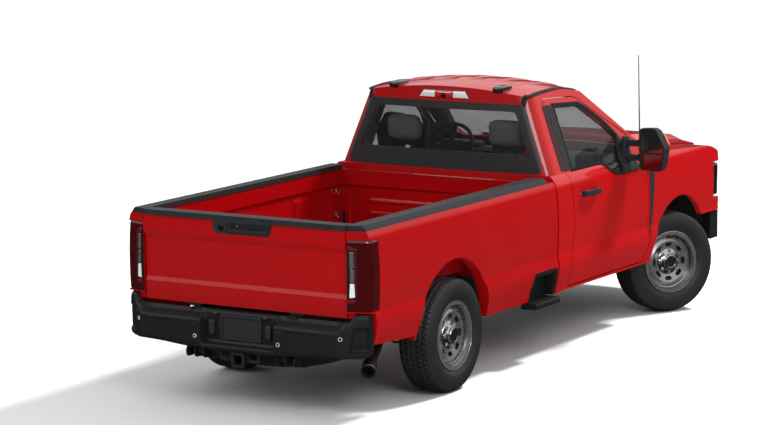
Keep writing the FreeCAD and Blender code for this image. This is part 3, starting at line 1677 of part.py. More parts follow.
def make_wheel_liners():
    """Front wheel liners: half drums inside the fenders, over the tyres."""
    radius = d.front_arch_radius + d.lip_depth * 3
    y = d.front_arch_y
    z = d.front_arch_z
    start = Vector(d.liner_inner_x, y, z)
    outer = Vector(d.waist_x + d.overrun, y, z)
    drum = rod(start, outer, radius + d.liner_wall).cut(rod(start + X_AXIS * d.liner_wall, outer, radius))
    drum = drum.common(side_prism(d.nose_y, d.firewall_y, d.fender_wall + d.seat_gap))
    lower = block((0, d.waist_x), (y - d.overrun * 2, y + d.overrun * 2), (0, d.rail_front_top_z))
    cab_side = block((0, d.waist_x), (d.firewall_y - d.shut_gap, 0), (0, TOP_Z))
    return one(drum.cut([lower, cab_side]))


# Wheels


def sketch(body, name, plane, path):
    """A sketch on one of the body's own planes, drawn from an outline."""
    drawing = body.newObject("Sketcher::SketchObject", name)
    origin = [feature for feature in body.Origin.OriginFeatures if feature.Role == plane + "_Plane"]
    drawing.AttachmentSupport = [(origin[0], "")]
    drawing.MapMode = "FlatFace"
    count = len(path)
    index = 0
    while index < count:
        start = Vector(*path[index][:2], 0)
        step = path[(index + 1) % count]
        if len(step) == 3:
            end = Vector(*path[(index + 2) % count][:2], 0)
            drawing.addGeometry(Part.Arc(start, Vector(*step[:2], 0), end))
            index += 2
        else:
            drawing.addGeometry(Part.LineSegment(start, Vector(*step[:2], 0)))
            index += 1
    return drawing


def new_body(name):
    """An empty part body, named as its node."""
    body = DOC.addObject("PartDesign::Body", name)
    body.Label = name
    return body


def revolve(body, name, path):
    """A profile of (along the axle, radius) turned about the axle, which is the body's X."""
    feature = body.newObject("PartDesign::Revolution", name)
    feature.Profile = sketch(body, name + "Profile", "XY", path)
    feature.ReferenceAxis = (feature.Profile[0], ["H_Axis"])
    feature.Angle = 360
    return feature


def tyre_path():
    """Section of the tyre: beads between the rim's flanges, bulged walls, flat tread."""
    bead = d.rim_width / 2 - d.rim_thickness - d.seat_gap
    seat = d.rim_seat_radius + d.seat_gap
    return both_sides([
        (d.tread_width / 2, d.tread_edge_radius),
        (d.tyre_shoulder_x, d.tyre_shoulder_radius),
        (d.upper_wall_x, d.upper_wall_radius),
        (d.tyre_width / 2, d.bulge_radius),
        (d.lower_wall_x, d.lower_wall_radius),
        (bead + d.rim_thickness, d.rim_flange_radius + d.lip_depth),
        (bead, d.rim_flange_radius),
        (bead, seat),
    ]) + [(-d.tread_flat / 2, d.tyre_radius), (d.tread_flat / 2, d.tyre_radius)]


def make_tyre(name, place):
    """A tyre, turned about its own axle and put in its place."""
    body = new_body(name)
    revolve(body, name + "Section", tyre_path())
    body.Placement = place
    return body


def rim_path():
    """Section of a pressed steel wheel: drop-centre rim and dished disc in one line."""
    edge = d.rim_width / 2
    wall = d.rim_thickness
    seat = d.rim_seat_radius
    well = d.rim_well_radius
    middle = d.rim_well_offset
    half = d.rim_width / 4
    ramp = seat - well
    disc = d.disc_rim_offset
    crown = d.disc_crown_offset
    return [
        (edge, d.rim_flange_radius),
        (edge - wall, d.rim_flange_radius),
        (edge - wall, seat),
        (middle + half + ramp, seat),
        (middle + half, well),
        (middle - half, well),
        (middle - half - ramp, seat),
        (wall - edge, seat),
        (wall - edge, d.rim_flange_radius),
        (-edge, d.rim_flange_radius),
        (-edge, seat - wall),
        (middle - half - ramp - wall / 2, seat - wall),
        (middle - half - wall / 2, well - wall),
        (middle + half + wall / 2, well - wall),
        (disc - wall * 2, well - wall),
        (crown - wall, d.disc_crown_radius),
        (d.hub_seat_offset - wall, d.hub_seat_radius),
        (d.hub_seat_offset - wall, d.hub_cap_radius),
        (d.hub_seat_offset, d.hub_cap_radius),
        (d.hub_seat_offset, d.hub_seat_radius),
        (crown, d.disc_crown_radius),
        (disc + wall, seat - wall),
        (edge, seat - wall),
    ]


def hub_path():
    """Section of the hub: brake disc, barrel, flange and cap, bored for the spindle."""
    start = d.hub_start
    bore = d.spindle_radius + d.seat_gap
    seat = d.hub_seat_offset - d.rim_thickness
    cap_end = d.hub_seat_offset + d.hub_cap_length
    return [
        (start, bore),
        (start, d.brake_disc_radius),
        (start + d.brake_disc_thickness, d.brake_disc_radius),
        (start + d.brake_disc_thickness, d.hub_radius),
        (seat - d.hub_flange, d.hub_radius),
        (seat - d.hub_flange, d.hub_seat_radius),
        (seat, d.hub_seat_radius),
        (seat, d.hub_cap_radius),
        (cap_end - d.lip_depth, d.hub_cap_radius),
        (cap_end, d.hub_cap_radius - d.lip_depth),
        (cap_end, 0),
        (start + d.spindle_length + d.seat_gap, 0),
        (start + d.spindle_length + d.seat_gap, bore),
    ]


def polar(body, name, feature, count):
    """Copies of a feature round the axle, spaced evenly."""
    pattern = body.newObject("PartDesign::PolarPattern", name)
    pattern.Originals = [feature]
    axes = [item for item in body.Origin.OriginFeatures if item.Role == "X_Axis"]
    pattern.Axis = (axes[0], [""])
    pattern.Angle = 360
    bind(pattern, Occurrences=count)
    body.Tip = pattern
    return pattern


def make_rim(name, place, with_hub=True):
    """A pressed steel wheel with its ring of oval holes, its nuts and its hub."""
    body = new_body(name)
    revolve(body, name + "Wheel", rim_path())
    half_long = d.wheel_hole_length / 2
    half_wide = d.wheel_hole_width / 2
    circle = d.wheel_hole_circle
    straight = half_long - half_wide
    oval = [
        (-straight, circle - half_wide),
        (-half_long, circle, VIA),
        (-straight, circle + half_wide),
        (straight, circle + half_wide),
        (half_long, circle, VIA),
        (straight, circle - half_wide),
    ]
    holes = body.newObject("PartDesign::Pocket", name + "Hole")
    holes.Profile = sketch(body, name + "HoleOutline", "YZ", oval)
    holes.Reversed = True
    bind(holes, Length="disc_crown_offset + rim_thickness")
    polar(body, name + "Holes", holes, "wheel_hole_count")
    body.Placement = place
    if not with_hub:
        return
    revolve(body, name + "Hub", hub_path())
    corners = [math.radians(60 * index) for index in range(6)]
    nut = [(d.lug_radius * math.cos(a), d.lug_circle + d.lug_radius * math.sin(a)) for a in corners]
    nuts = body.newObject("PartDesign::Pad", name + "Nut")
    nuts.Profile = sketch(body, name + "NutOutline", "YZ", nut)
    bind(nuts, Length="hub_seat_offset + lug_length")
    polar(body, name + "Nuts", nuts, "wheel_hole_count")


def wheel_place(x, y, turn=0):
    """Placement of a wheel: its outer face outwards, turned by the steering."""
    heading = Rotation(Z_AXIS, turn + (0 if x > 0 else 180))
    return Placement(Vector(x, y, d.tyre_radius), heading)


def steered_place(side):
    """Placement of a front wheel, swung about its kingpin by the resting steer angle."""
    pin = Vector(side * d.kingpin_half_span, FRONT_AXLE_Y, 0)
    reach = Vector(side * (d.front_track / 2 - d.kingpin_half_span), 0, 0)
    centre = pin + Rotation(Z_AXIS, -d.steer_angle).multVec(reach)
    return wheel_place(centre.x, centre.y, -d.steer_angle)


# Small outside pieces


def make_roof_lamps():
    """Two marker lamps along the roof's rear and the stop lamp above the rear window."""
    gap = d.seat_gap
    layer = roof_barrel(-gap - d.roof_lamp_height).cut(roof_barrel(-gap))
    y = d.roof_lamp_y
    foot = rounded([
        (d.roof_lamp_x + d.roof_lamp_width / 2, y - d.roof_lamp_length / 2, d.lug_radius * 2),
        (d.roof_lamp_x + d.roof_lamp_width / 2, y + d.roof_lamp_length / 2, d.lug_radius * 2),
        (d.roof_lamp_x - d.roof_lamp_width / 2, y + d.roof_lamp_length / 2, d.lug_radius * 2),
        (d.roof_lamp_x - d.roof_lamp_width / 2, y - d.roof_lamp_length / 2, d.lug_radius * 2),
    ])
    marker = one(layer.common(prism("XY", foot, d.belt_z, TOP_Z)))
    low_z = d.stop_lamp_low_z
    band = [
        (d.stop_lamp_low_x, low_z),
        (d.stop_lamp_high_x, d.stop_lamp_high_z),
        (-d.stop_lamp_high_x, d.stop_lamp_high_z),
        (-d.stop_lamp_low_x, low_z),
    ]
    shell = greenhouse(-gap - d.lamp_proud).cut(greenhouse(-gap))
    stop = one(shell.common(prism("XZ", band, d.roof_crown_y, d.cab_back_y + d.overrun)))
    return Part.makeCompound([marker, flipped(marker), stop])


def make_fender_trim():
    """Black vents behind the front wheels and the whip antenna on the right fender."""
    gap = d.seat_gap
    rear = d.vent_rear_y
    path = rounded([
        (rear, d.vent_high_z, d.lug_radius),
        (rear + d.lip_depth / 2, d.vent_low_z),
        (rear - d.lip_depth, d.vent_low_z),
        (rear - d.vent_width, d.vent_high_z - d.vent_width, d.vent_width),
        (rear - d.vent_width, d.vent_high_z, d.lug_radius),
    ])
    layer = side_prism(d.nose_y, 0, -gap - d.vent_proud).cut(side_prism(d.nose_y, 0, -gap))
    vent = one(layer.common(prism("YZ", path, d.belt_x - d.overrun, d.waist_x + d.overrun)))
    x, y = -d.antenna_x, d.antenna_y
    slope = (d.fender_top_rear_z - d.fender_ridge_z) / (d.door_front_y - d.shut_gap - d.fender_ridge_y)
    foot_z = d.fender_top_rear_z + slope * (y - d.door_front_y + d.shut_gap) + d.antenna_base_radius * slope + gap
    base = Part.makeCone(
        d.antenna_base_radius,
        d.antenna_base_radius / 2,
        d.antenna_base_radius * 2,
        Vector(x, y, foot_z),
    )
    tip = Vector(x, y + d.antenna_rake, d.antenna_tip_z)
    whip = rod(Vector(x, y, foot_z + d.antenna_base_radius), tip, d.antenna_radius)
    return Part.makeCompound([vent, flipped(vent), one(base.fuse(whip))])


def make_door_trim():
    """Left mirror on its two arms with the black corner piece, and the door handle."""
    gap = d.seat_gap
    head_path = rounded([
        (d.mirror_inner_x, d.mirror_low_z, d.mirror_round),
        (d.mirror_outer_x - d.mirror_round / 2, d.mirror_low_z, d.mirror_round),
        (d.mirror_outer_x, d.mirror_high_z - d.mirror_round * 2, d.mirror_round),
        (d.mirror_outer_x - d.mirror_round, d.mirror_high_z, d.mirror_round),
        (d.mirror_inner_x, d.mirror_high_z, d.mirror_round),
    ])
    head = prism("XZ", head_path, d.mirror_glass_y - d.mirror_depth, d.mirror_glass_y)
    layer = cab_hull(-gap - d.lip_depth * 2).cut(cab_hull(-gap))
    sail_path = rounded([
        (d.window_front_y - d.lip_depth, d.window_low_z, d.lug_radius),
        (d.window_front_y + d.mirror_round, d.window_low_z, d.lug_radius),
        (d.window_post_y + d.lip_depth, d.window_post_z + d.lip_depth, d.lug_radius),
        (d.door_post_y + d.door_round, d.window_post_z - d.door_round * 2, d.lug_radius),
    ])
    sail = layer.common(prism("YZ", sail_path, d.overrun, d.waist_x + d.overrun))
    arms = []
    for z in (d.mirror_arm_low_z, d.mirror_arm_high_z):
        lean = (d.roof_side_x - d.belt_x) / (d.roof_side_z - d.belt_z)
        skin_x = d.belt_x + lean * (z - d.belt_z)
        start = Vector(skin_x + d.lip_depth, d.mirror_arm_y, z)
        arms.append(
            rod(start, Vector(d.mirror_inner_x + d.mirror_round, d.mirror_arm_y, z), d.mirror_arm_radius),
        )
    mirror = one(head.fuse(arms + [sail]).cut(cab_hull(-gap)))
    z = d.handle_z
    front, rear = d.handle_front_y, d.handle_rear_y
    reach = d.waist_x + d.handle_stand_off
    bar = rod(Vector(reach, front, z), Vector(reach, rear, z), d.handle_radius)
    feet = [
        block(
            (d.belt_x, reach),
            (y - d.handle_radius, y + d.handle_radius),
            (z - d.handle_radius / 2, z + d.handle_radius / 2),
        )
        for y in (front + d.handle_radius, rear - d.handle_radius)
    ]
    handle = one(bar.fuse(feet).cut(cab_hull(-gap)))
    return Part.makeCompound([mirror, handle])


# Inside the cab


def make_seats():
    """Bench seat: base, leaning back and two headrests on their posts."""
    half = d.seat_half_width
    base = block(
        (-half, half),
        (d.seat_front_y, d.seat_back_y),
        (d.floor_top_z + d.seat_gap, d.seat_height_z),
    )
    back_path = rounded([
        (d.seat_back_y - d.seat_back_thickness, d.seat_height_z - d.lip_depth),
        (d.seat_back_y, d.seat_height_z - d.lip_depth),
        (d.seat_back_y + d.seat_lean, d.seat_top_z, d.mirror_round),
        (d.seat_back_y + d.seat_lean - d.seat_back_thickness, d.seat_top_z, d.mirror_round),
    ])
    back = prism("YZ", back_path, -half, half)
    rests = []
    for side in (1, -1):
        x = side * d.headrest_x
        rest = block(
            (x - d.headrest_half_width, x + d.headrest_half_width),
            (d.headrest_y - d.headrest_thickness / 2, d.headrest_y + d.headrest_thickness / 2),
            (d.headrest_low_z, d.headrest_high_z),
        )
        rests.append(rest.makeFillet(d.mirror_round / 2, rest.Edges))
        for reach in (-d.headrest_half_width / 2, d.headrest_half_width / 2):
            foot = Vector(x + reach, d.headrest_y, d.seat_top_z - d.mirror_round)
            rests.append(
                Part.makeCylinder(d.headrest_post_radius, d.headrest_low_z - foot.z + d.mirror_round, foot),
            )
    return one(base.fuse([back] + rests))


def wheel_tilt():
    """Direction of the steering column, rearwards and up."""
    lean = math.radians(d.steering_lean)
    return Vector(0, math.cos(lean), math.sin(lean))


def make_dashboard():
    """Dashboard across the cab with the steering column standing out of it."""
    half = d.sill_board_inner_x - d.shut_gap
    front = d.firewall_y + d.floor_wall + d.seat_gap
    path = rounded([
        (front, d.dash_low_z),
        (d.dash_rear_y, d.dash_low_z, d.mirror_round),
        (d.dash_rear_y - d.mirror_round, d.dash_high_z, d.mirror_round * 2),
        (front, d.cab_base_z),
    ])
    board = prism("YZ", path, -half, half)
    room = greenhouse(d.pillar_wall + d.shut_gap).fuse(
        block((-half, half), (d.firewall_y, 0), (0, d.cab_base_z)),
    )
    hub = Vector(d.steering_wheel_x, d.steering_wheel_y, d.steering_wheel_z)
    column = rod(
        hub - wheel_tilt() * d.column_length,
        hub - wheel_tilt() * (d.steering_wheel_tube + d.seat_gap),
        d.column_radius,
    )
    return one(board.common(room).fuse(column))


def make_steering_wheel():
    """Steering wheel: rim, hub and three flat spokes."""
    tube = d.steering_wheel_tube
    ring = Part.makeTorus(d.steering_wheel_radius, tube)
    hub = Part.makeCylinder(d.column_radius * 2, tube * 2, Vector(0, 0, -tube))
    spokes = []
    for angle in (0, 180, 270):
        spoke = block((0, d.steering_wheel_radius), (-tube, tube), (-tube / 2, tube / 2))
        spoke.rotate(ORIGIN, Z_AXIS, angle)
        spokes.append(spoke)
    return one(ring.fuse([hub] + spokes))


node("frame", make_frame())
node("cab", make_cab())
node("cab_glass", make_cab_glass())
node("roof_lamps", make_roof_lamps())
node("cowl", make_cowl())
node("front_fenders", pair(make_fender()))
node("fender_trim", make_fender_trim())
node("wheel_liners", pair(make_wheel_liners()))
node("grille", make_grille())
node("headlamps", pair(make_headlamp()))
node("front_bumper", make_front_bumper())
node("bonnet", make_bonnet())
node("engine", make_engine())
node("driveline", make_driveline())
node("exhaust", make_exhaust())
node("fuel_tank", make_fuel_tank())
node("front_axle", make_front_axle())
node("rear_axle", make_rear_axle())
node("suspension", make_suspension())
node("box", make_box())
node("box_steps", pair(make_box_step()))
node("rail_caps", pair(make_rail_cap()))
node("tail_lamps", pair(make_tail_lamp()))
node("tailgate", make_tailgate())
node("tailgate_cap", make_tailgate_cap())
node("rear_bumper", make_rear_bumper())
node("hitch", make_hitch())
node("seats", make_seats())
node("dashboard", make_dashboard())
wheel_turn = Rotation(Z_AXIS, wheel_tilt())
wheel_centre = Vector(d.steering_wheel_x, d.steering_wheel_y, d.steering_wheel_z)
node("steering_wheel", make_steering_wheel(), Placement(wheel_centre, wheel_turn))
for side, sign, turn in (("left", 1, lambda shape: shape), ("right", -1, flipped)):
    node("door_" + side, turn(make_door()))
    node("door_glass_" + side, turn(make_door_glass()))
    node("door_trim_" + side, turn(make_door_trim()))
    node("knuckle_" + side, make_knuckle(sign))
    front = steered_place(sign)
    rear = wheel_place(sign * d.rear_track / 2, REAR_AXLE_Y)
    make_tyre("tyre_front_" + side, front)
    make_rim("rim_front_" + side, front)
    make_tyre("tyre_rear_" + side, rear)
    make_rim("rim_rear_" + side, rear)
spare = Placement(Vector(0, d.spare_y + d.crossmember_depth / 2, d.spare_z), Rotation(Y_AXIS, -90))
make_tyre("spare_tyre", spare)
make_rim("spare_rim", spare, False)

DOC.recompute()
os.makedirs("parts", exist_ok=True)
for item in DOC.Objects:
    if "Invalid" in item.State or "Error" in item.State:
        raise RuntimeError(item.Name + " failed")
for item in DOC.Objects:
    whole = item.isDerivedFrom("Part::Feature") and not item.InList
    if not whole:
        continue
    if item.Shape.isNull() or not item.Shape.isValid() or item.Shape.Volume <= 0:
        raise RuntimeError(item.Label + " has no valid shape")
    item.Shape.exportStep("parts/" + item.Label + ".step")
    print(item.Label, len(item.Shape.Solids), round(item.Shape.Volume / 1e9, 5), item.Shape.BoundBox)
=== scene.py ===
"""Looks of a full-size single-cab pickup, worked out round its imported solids."""
import json
import math
from functools import partial

import bmesh
import bpy
import numpy as np
from mathutils import Matrix, Vector


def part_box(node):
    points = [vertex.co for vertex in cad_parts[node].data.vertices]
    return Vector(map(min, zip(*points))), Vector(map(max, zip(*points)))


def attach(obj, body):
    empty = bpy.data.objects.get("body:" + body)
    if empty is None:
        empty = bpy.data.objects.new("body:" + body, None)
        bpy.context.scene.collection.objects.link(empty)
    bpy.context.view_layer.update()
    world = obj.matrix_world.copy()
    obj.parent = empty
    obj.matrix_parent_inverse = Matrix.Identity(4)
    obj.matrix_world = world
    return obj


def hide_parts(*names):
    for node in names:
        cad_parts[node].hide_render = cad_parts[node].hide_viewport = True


bl_info = {
    "name": "Pickup truck",
    "version": (1, 0, 0),
    "blender": (4, 5, 0),
    "location": "3D View > Sidebar > Pickup",
    "description": "Dresses the packed solids of a single-cab pickup with its finishes and fittings",
    "category": "Object",
}

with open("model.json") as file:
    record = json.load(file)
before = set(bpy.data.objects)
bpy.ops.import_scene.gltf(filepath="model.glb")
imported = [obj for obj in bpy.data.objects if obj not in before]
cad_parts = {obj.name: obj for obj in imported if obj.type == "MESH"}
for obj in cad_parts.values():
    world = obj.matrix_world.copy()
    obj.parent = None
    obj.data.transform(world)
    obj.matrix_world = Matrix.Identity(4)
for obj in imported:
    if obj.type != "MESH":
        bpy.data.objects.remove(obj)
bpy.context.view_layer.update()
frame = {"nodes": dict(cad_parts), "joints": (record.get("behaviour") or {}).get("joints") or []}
NODES = frame["nodes"]
SIDES = (("left", 1), ("right", -1))
# Every finish by its name, made by the first operator
FINISHES = {}
# Where a flat outline's two axes and the way it is carried go, for the plane that it is drawn on
PLANES = {"YZ": (2, 0, 1), "XZ": (0, 2, 1), "XY": (0, 1, 2)}

# The body's large forms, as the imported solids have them
SIDE_SECTION = [
    # Height, then half width
    (0.470, 0.968), (0.556, 0.988), (0.588, 0.9975), (0.620, 1.003), (0.656, 1.0062), (0.692, 1.008),
    (0.766, 0.992), (0.850, 0.9975), (0.940, 0.9998), (1.040, 1.000), (1.140, 0.9950), (1.235, 0.985),
    (1.265, 0.9775), (1.298, 0.966), (1.322, 0.9495), (1.345, 0.925), (1.925, 0.703),
]
BELT_Z, BELT_X = SIDE_SECTION[-2]
PILLAR_LEAN = 0.3828
BACK_Y, BACK_Z, BACK_LEAN, BACK_RADIUS = 0.155, 1.300, 0.13, 6.183
SCREEN_Y, SCREEN_Z, SCREEN_SLOPE, SCREEN_RADIUS = -1.750, 1.310, 1.56, 3.307
ROOF_TOP, ROOF_MIDDLE_Y, ROOF_AXIS_Z, ROOF_RADIUS = 2.002, -0.300, -0.498, 3.807
# How deep in the cab's wall the paint ends and the lining starts, and by how much more at its corners
LINING_DEPTH = 0.012
CORNER_DEPTH = 0.034


class PickupColours(bpy.types.PropertyGroup):
    """Colours that a user may change."""

    paint: bpy.props.FloatVectorProperty(
        name="Body paint",
        description="Colour of the cab, doors, bonnet, fenders, load box and tailgate",
        subtype="COLOR",
        size=3,
        default=(0.385, 0.0022, 0.0036),
    )
    plastic: bpy.props.FloatVectorProperty(
        name="Grained plastic",
        description="Colour of the rail caps, mirrors and other moulded trim",
        subtype="COLOR",
        size=3,
        default=(0.022, 0.023, 0.025),
    )
    wheel: bpy.props.FloatVectorProperty(
        name="Wheels",
        description="Colour of the painted steel wheels",
        subtype="COLOR",
        size=3,
        default=(0.46, 0.465, 0.47),
    )
    cloth: bpy.props.FloatVectorProperty(
        name="Seat cloth",
        description="Colour of the bench seat and headrests",
        subtype="COLOR",
        size=3,
        default=(0.34, 0.345, 0.35),
    )


class PickupSizes(bpy.types.PropertyGroup):
    """Sizes that a user may change."""

    tread_depth: bpy.props.FloatProperty(
        name="Tread depth",
        description="Depth of the grooves in the tyres",
        subtype="DISTANCE",
        unit="LENGTH",
        default=0.011,
    )
    tread_pitches: bpy.props.IntProperty(
        name="Tread pitches",
        description="Tread blocks round each tyre",
        default=64,
    )
    camera_lens: bpy.props.FloatProperty(
        name="Lens",
        description="Focal length of the camera on a 36 mm sensor, in millimetres",
        default=138.46,
    )


# Shapes as arrays of points


def smooth(low, high, value):
    """Runs from 0 to 1 as value goes from low to high: 3t squared less 2t cubed."""
    t = np.clip((value - low) / (high - low), 0.0, 1.0)
    return t * t * (3.0 - 2.0 * t)


def grid_faces(rows, columns, close_rows, close_columns):
    """Quads between neighbouring points of a grid counted row by row."""
    row = np.arange(rows if close_rows else rows - 1)[:, None]
    column = np.arange(columns if close_columns else columns - 1)[None, :]
    next_row = (row + 1) % rows
    next_column = (column + 1) % columns
    corners = np.stack(
        [
            row * columns + column,
            next_row * columns + column,
            next_row * columns + next_column,
            row * columns + next_column,
        ],
        axis=-1,
    )
    return corners.reshape(-1, 4).tolist()


def sheet(x, y, z):
    """A grid of points from their x, y and z, each of which may run along one way only."""
    return np.stack(np.broadcast_arrays(x, y, z), axis=-1)


def surface(grid, close_rows=False, close_columns=True, capped=False):
    """A skin over a grid of points, its first and last rows closed by flat faces if capped."""
    rows, columns = grid.shape[:2]
    faces = grid_faces(rows, columns, close_rows, close_columns)
    if capped:
        faces.append(list(range(columns)))
        faces.append(list(range((rows - 1) * columns, rows * columns))[::-1])
    return grid.reshape(-1, 3), faces


def joined(shapes):
    """Several shapes as one, the later ones' faces counted on from the earlier ones' points."""
    points = []
    faces = []
    count = 0
    for some_points, some_faces in shapes:
        points.append(np.asarray(some_points, dtype=float))
        faces += [[index + count for index in face] for face in some_faces]
        count += len(some_points)
    return np.concatenate(points), faces


def moved(shape, matrix):
    """A shape carried to another place."""
    points, faces = shape
    matrix = np.array(matrix)
    return points @ matrix[:3, :3].T + matrix[:3, 3], faces


def mirrored(shape):
    """The same shape on the other side of the vehicle, x changed in sign."""
    points, faces = shape
    return points * np.array([-1.0, 1.0, 1.0]), [face[::-1] for face in faces]


def mirrored_too(shapes):
    """Shapes of the left side, then their mirror images."""
    return shapes + [mirrored(shape) for shape in shapes]


def both(shapes):
    """Shapes of the left side and their mirror images, as two lists under their sides."""
    return {"left": shapes, "right": [mirrored(shape) for shape in shapes]}


def pillow(centre, half, sharpness=0.25, rows=16, columns=32):
    """A rounded block: a ball whose sines and cosines are raised to a power under one."""
    polar = np.linspace(-math.pi / 2, math.pi / 2, rows)[:, None]
    turn = np.linspace(0, 2 * math.pi, columns, endpoint=False)[None, :]

    def eased(value):
        return np.sign(value) * np.abs(value) ** sharpness

    x = eased(np.cos(polar)) * eased(np.cos(turn))
    y = eased(np.cos(polar)) * eased(np.sin(turn))
    grid = sheet(x, y, eased(np.sin(polar))) * np.array(half) + np.array(centre)
    return surface(grid)


def lathe(profile, centre, axis, steps=64):
    """A profile of (along the axis, radius) turned a full circle about an axis."""
    axis = Vector(axis).normalized()
    side = axis.orthogonal().normalized()
    other = axis.cross(side)
    angle = np.linspace(0, 2 * math.pi, steps, endpoint=False)[:, None, None]
    profile = np.asarray(profile, dtype=float)
    ring = np.cos(angle) * np.array(side) + np.sin(angle) * np.array(other)
    grid = np.array(centre) + profile[None, :, :1] * np.array(axis) + profile[None, :, 1:] * ring
    return surface(grid, close_rows=True, close_columns=False)


def swept(section, path, up=(0.0, 0.0, 1.0)):
    """A closed section of (side, up) points carried along a path, square to it all the way."""
    path = np.asarray(path, dtype=float)
    section = np.asarray(section, dtype=float)
    ahead = np.gradient(path, axis=0)
    ahead /= np.linalg.norm(ahead, axis=1)[:, None]
    side = np.cross(ahead, np.array(up))
    side /= np.linalg.norm(side, axis=1)[:, None]
    above = np.cross(side, ahead)
    grid = path[:, None] + section[None, :, :1] * side[:, None] + section[None, :, 1:] * above[:, None]
    return surface(grid, capped=True)


def disc_section(radius, steps=12):
    """Points round a circle, for a rod or tube."""
    angle = np.linspace(0, 2 * math.pi, steps, endpoint=False)
    return np.stack([np.cos(angle), np.sin(angle)], axis=1) * radius


def bar_section(width, height, rounding=0.3):
    """Points round a rounded rectangle, a circle's sines and cosines raised to a power."""
    angle = np.linspace(0, 2 * math.pi, 24, endpoint=False) + math.pi / 24
    across = np.sign(np.cos(angle)) * np.abs(np.cos(angle)) ** rounding
    along = np.sign(np.sin(angle)) * np.abs(np.sin(angle)) ** rounding
    return np.stack([across * width / 2, along * height / 2], axis=1)


def through(points, steps=24):
    """A smooth line through points, a cubic between each two with slopes from their neighbours."""
    points = np.asarray(points, dtype=float)
    slopes = np.gradient(points, axis=0)
    t = np.linspace(0, 1, steps, endpoint=False)[:, None]
    start, end = points[:-1, None], points[1:, None]
    rise, fall = slopes[:-1, None], slopes[1:, None]
    spans = (
        start * (2 * t ** 3 - 3 * t ** 2 + 1)
        + rise * (t ** 3 - 2 * t ** 2 + t)
        + end * (3 * t ** 2 - 2 * t ** 3)
        + fall * (t ** 3 - t ** 2)
    )
    return np.concatenate([spans.reshape(-1, points.shape[1]), points[-1:]])


def outwards(mesh):
    """Merges a mesh's doubles and turns its faces outwards."""
    work = bmesh.new()
    work.from_mesh(mesh)
    bmesh.ops.remove_doubles(work, verts=work.verts, dist=1e-6)
    bmesh.ops.recalc_face_normals(work, faces=work.faces)
    work.to_mesh(mesh)
    work.free()
    mesh.update()


def piece(name, shapes, key, slot, body="chassis", smooth_angle=35.0):
    """An object of the scene from its shapes, finished and riding on its body."""
    points, faces = joined(shapes)
    mesh = bpy.data.meshes.new(name)
    mesh.from_pydata(np.asarray(points).tolist(), [], faces)
    mesh.materials.append(FINISHES[key])
    outwards(mesh)
    mesh.shade_smooth()
    mesh.set_sharp_from_angle(angle=math.radians(smooth_angle))
    item = bpy.data.objects.new(name, mesh)
    bpy.context.scene.collection.objects.link(item)
    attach(item, body)
    return item


# Finishes

GLOSS = {"Specular_IOR_Level": 0.1, "Coat_Weight": 0.9, "Coat_Roughness": 0.02}


def wire(material, source, target):
    """Joins two sockets of a material."""
    material.node_tree.links.new(source, target)


def add_node(material, kind, **values):
    """A node of a material, with the values of its sockets and settings."""
    node = material.node_tree.nodes.new(kind)
    for name, value in values.items():
        if name in node.bl_rna.properties:
            setattr(node, name, value)
        else:
            node.inputs[name.replace("_", " ")].default_value = value
    return node


def place(material):
    """Coordinates of the object, so that a pattern stays on the piece."""
    return add_node(material, "ShaderNodeTexCoord").outputs["Object"]


def noise(material, scale, detail=3.0, roughness=0.6):
    """Even noise over the object."""
    node = add_node(material, "ShaderNodeTexNoise", Scale=scale, Detail=detail, Roughness=roughness)
    wire(material, place(material), node.inputs["Vector"])
    return node.outputs["Fac"]


def ranged(material, source, low, high, start=0.3, end=0.7):
    """A value stretched from one range to another."""
    node = add_node(material, "ShaderNodeMapRange")
    node.inputs["From Min"].default_value = start
    node.inputs["From Max"].default_value = end
    node.inputs["To Min"].default_value = low
    node.inputs["To Max"].default_value = high
    wire(material, source, node.inputs["Value"])
    return node.outputs["Result"]


def blended(material, amount, first, second):
    """A colour between two, each a colour or a socket."""
    node = add_node(material, "ShaderNodeMix", data_type="RGBA")
    wire(material, amount, node.inputs["Factor"])
    inputs = [socket for socket in node.inputs if socket.type == "RGBA"]
    for socket, colour in zip(inputs, (first, second)):
        if isinstance(colour, bpy.types.NodeSocket):
            wire(material, colour, socket)
        else:
            socket.default_value = (*colour, 1.0)
    return [socket for socket in node.outputs if socket.type == "RGBA"][0]


def sum_of(material, operation, *values):
    """One step of arithmetic with one or two values, each a number or a socket."""
    node = add_node(material, "ShaderNodeMath", operation=operation)
    for socket, value in zip(node.inputs, values):
        if isinstance(value, bpy.types.NodeSocket):
            wire(material, value, socket)
        else:
            socket.default_value = value
    return node.outputs[0]


def axes_of(material):
    """The x, y and z of a place on the object."""
    parts = add_node(material, "ShaderNodeSeparateXYZ")
    wire(material, place(material), parts.inputs[0])
    return [parts.outputs[letter] for letter in "XYZ"]


def shader_of(material):
    """The surface shader of a material."""
    return material.node_tree.nodes["Principled BSDF"]


def new_material(name, **sockets):
    """An empty material, with the values of some of its shader's sockets."""
    material = bpy.data.materials.new(name)
    material.use_nodes = True
    for socket, value in sockets.items():
        shader_of(material).inputs[socket.replace("_", " ")].default_value = value
    return material


def roughened(material, height, strength):
    """Gives a material the bump of a height."""
    bump = add_node(material, "ShaderNodeBump", Strength=strength, Distance=0.001)
    wire(material, height, bump.inputs["Height"])
    wire(material, bump.outputs["Normal"], shader_of(material).inputs["Normal"])


def finish(name, colour, roughness, mottle=0.06, mottle_scale=6.0, grain=0.0, grain_scale=900.0, **sockets):
    """A surface with a little variation of colour and gloss, and a fine grain."""
    material = new_material(name, **sockets)
    shader = shader_of(material)
    cloud = noise(material, mottle_scale)
    darker = tuple(part * (1.0 - mottle) for part in colour)
    wire(material, blended(material, cloud, darker, colour), shader.inputs["Base Color"])
    gloss = ranged(material, cloud, roughness * 0.85, min(1.0, roughness * 1.15))
    wire(material, gloss, shader.inputs["Roughness"])
    if grain:
        roughened(material, noise(material, grain_scale, 2.0), grain)
    return material


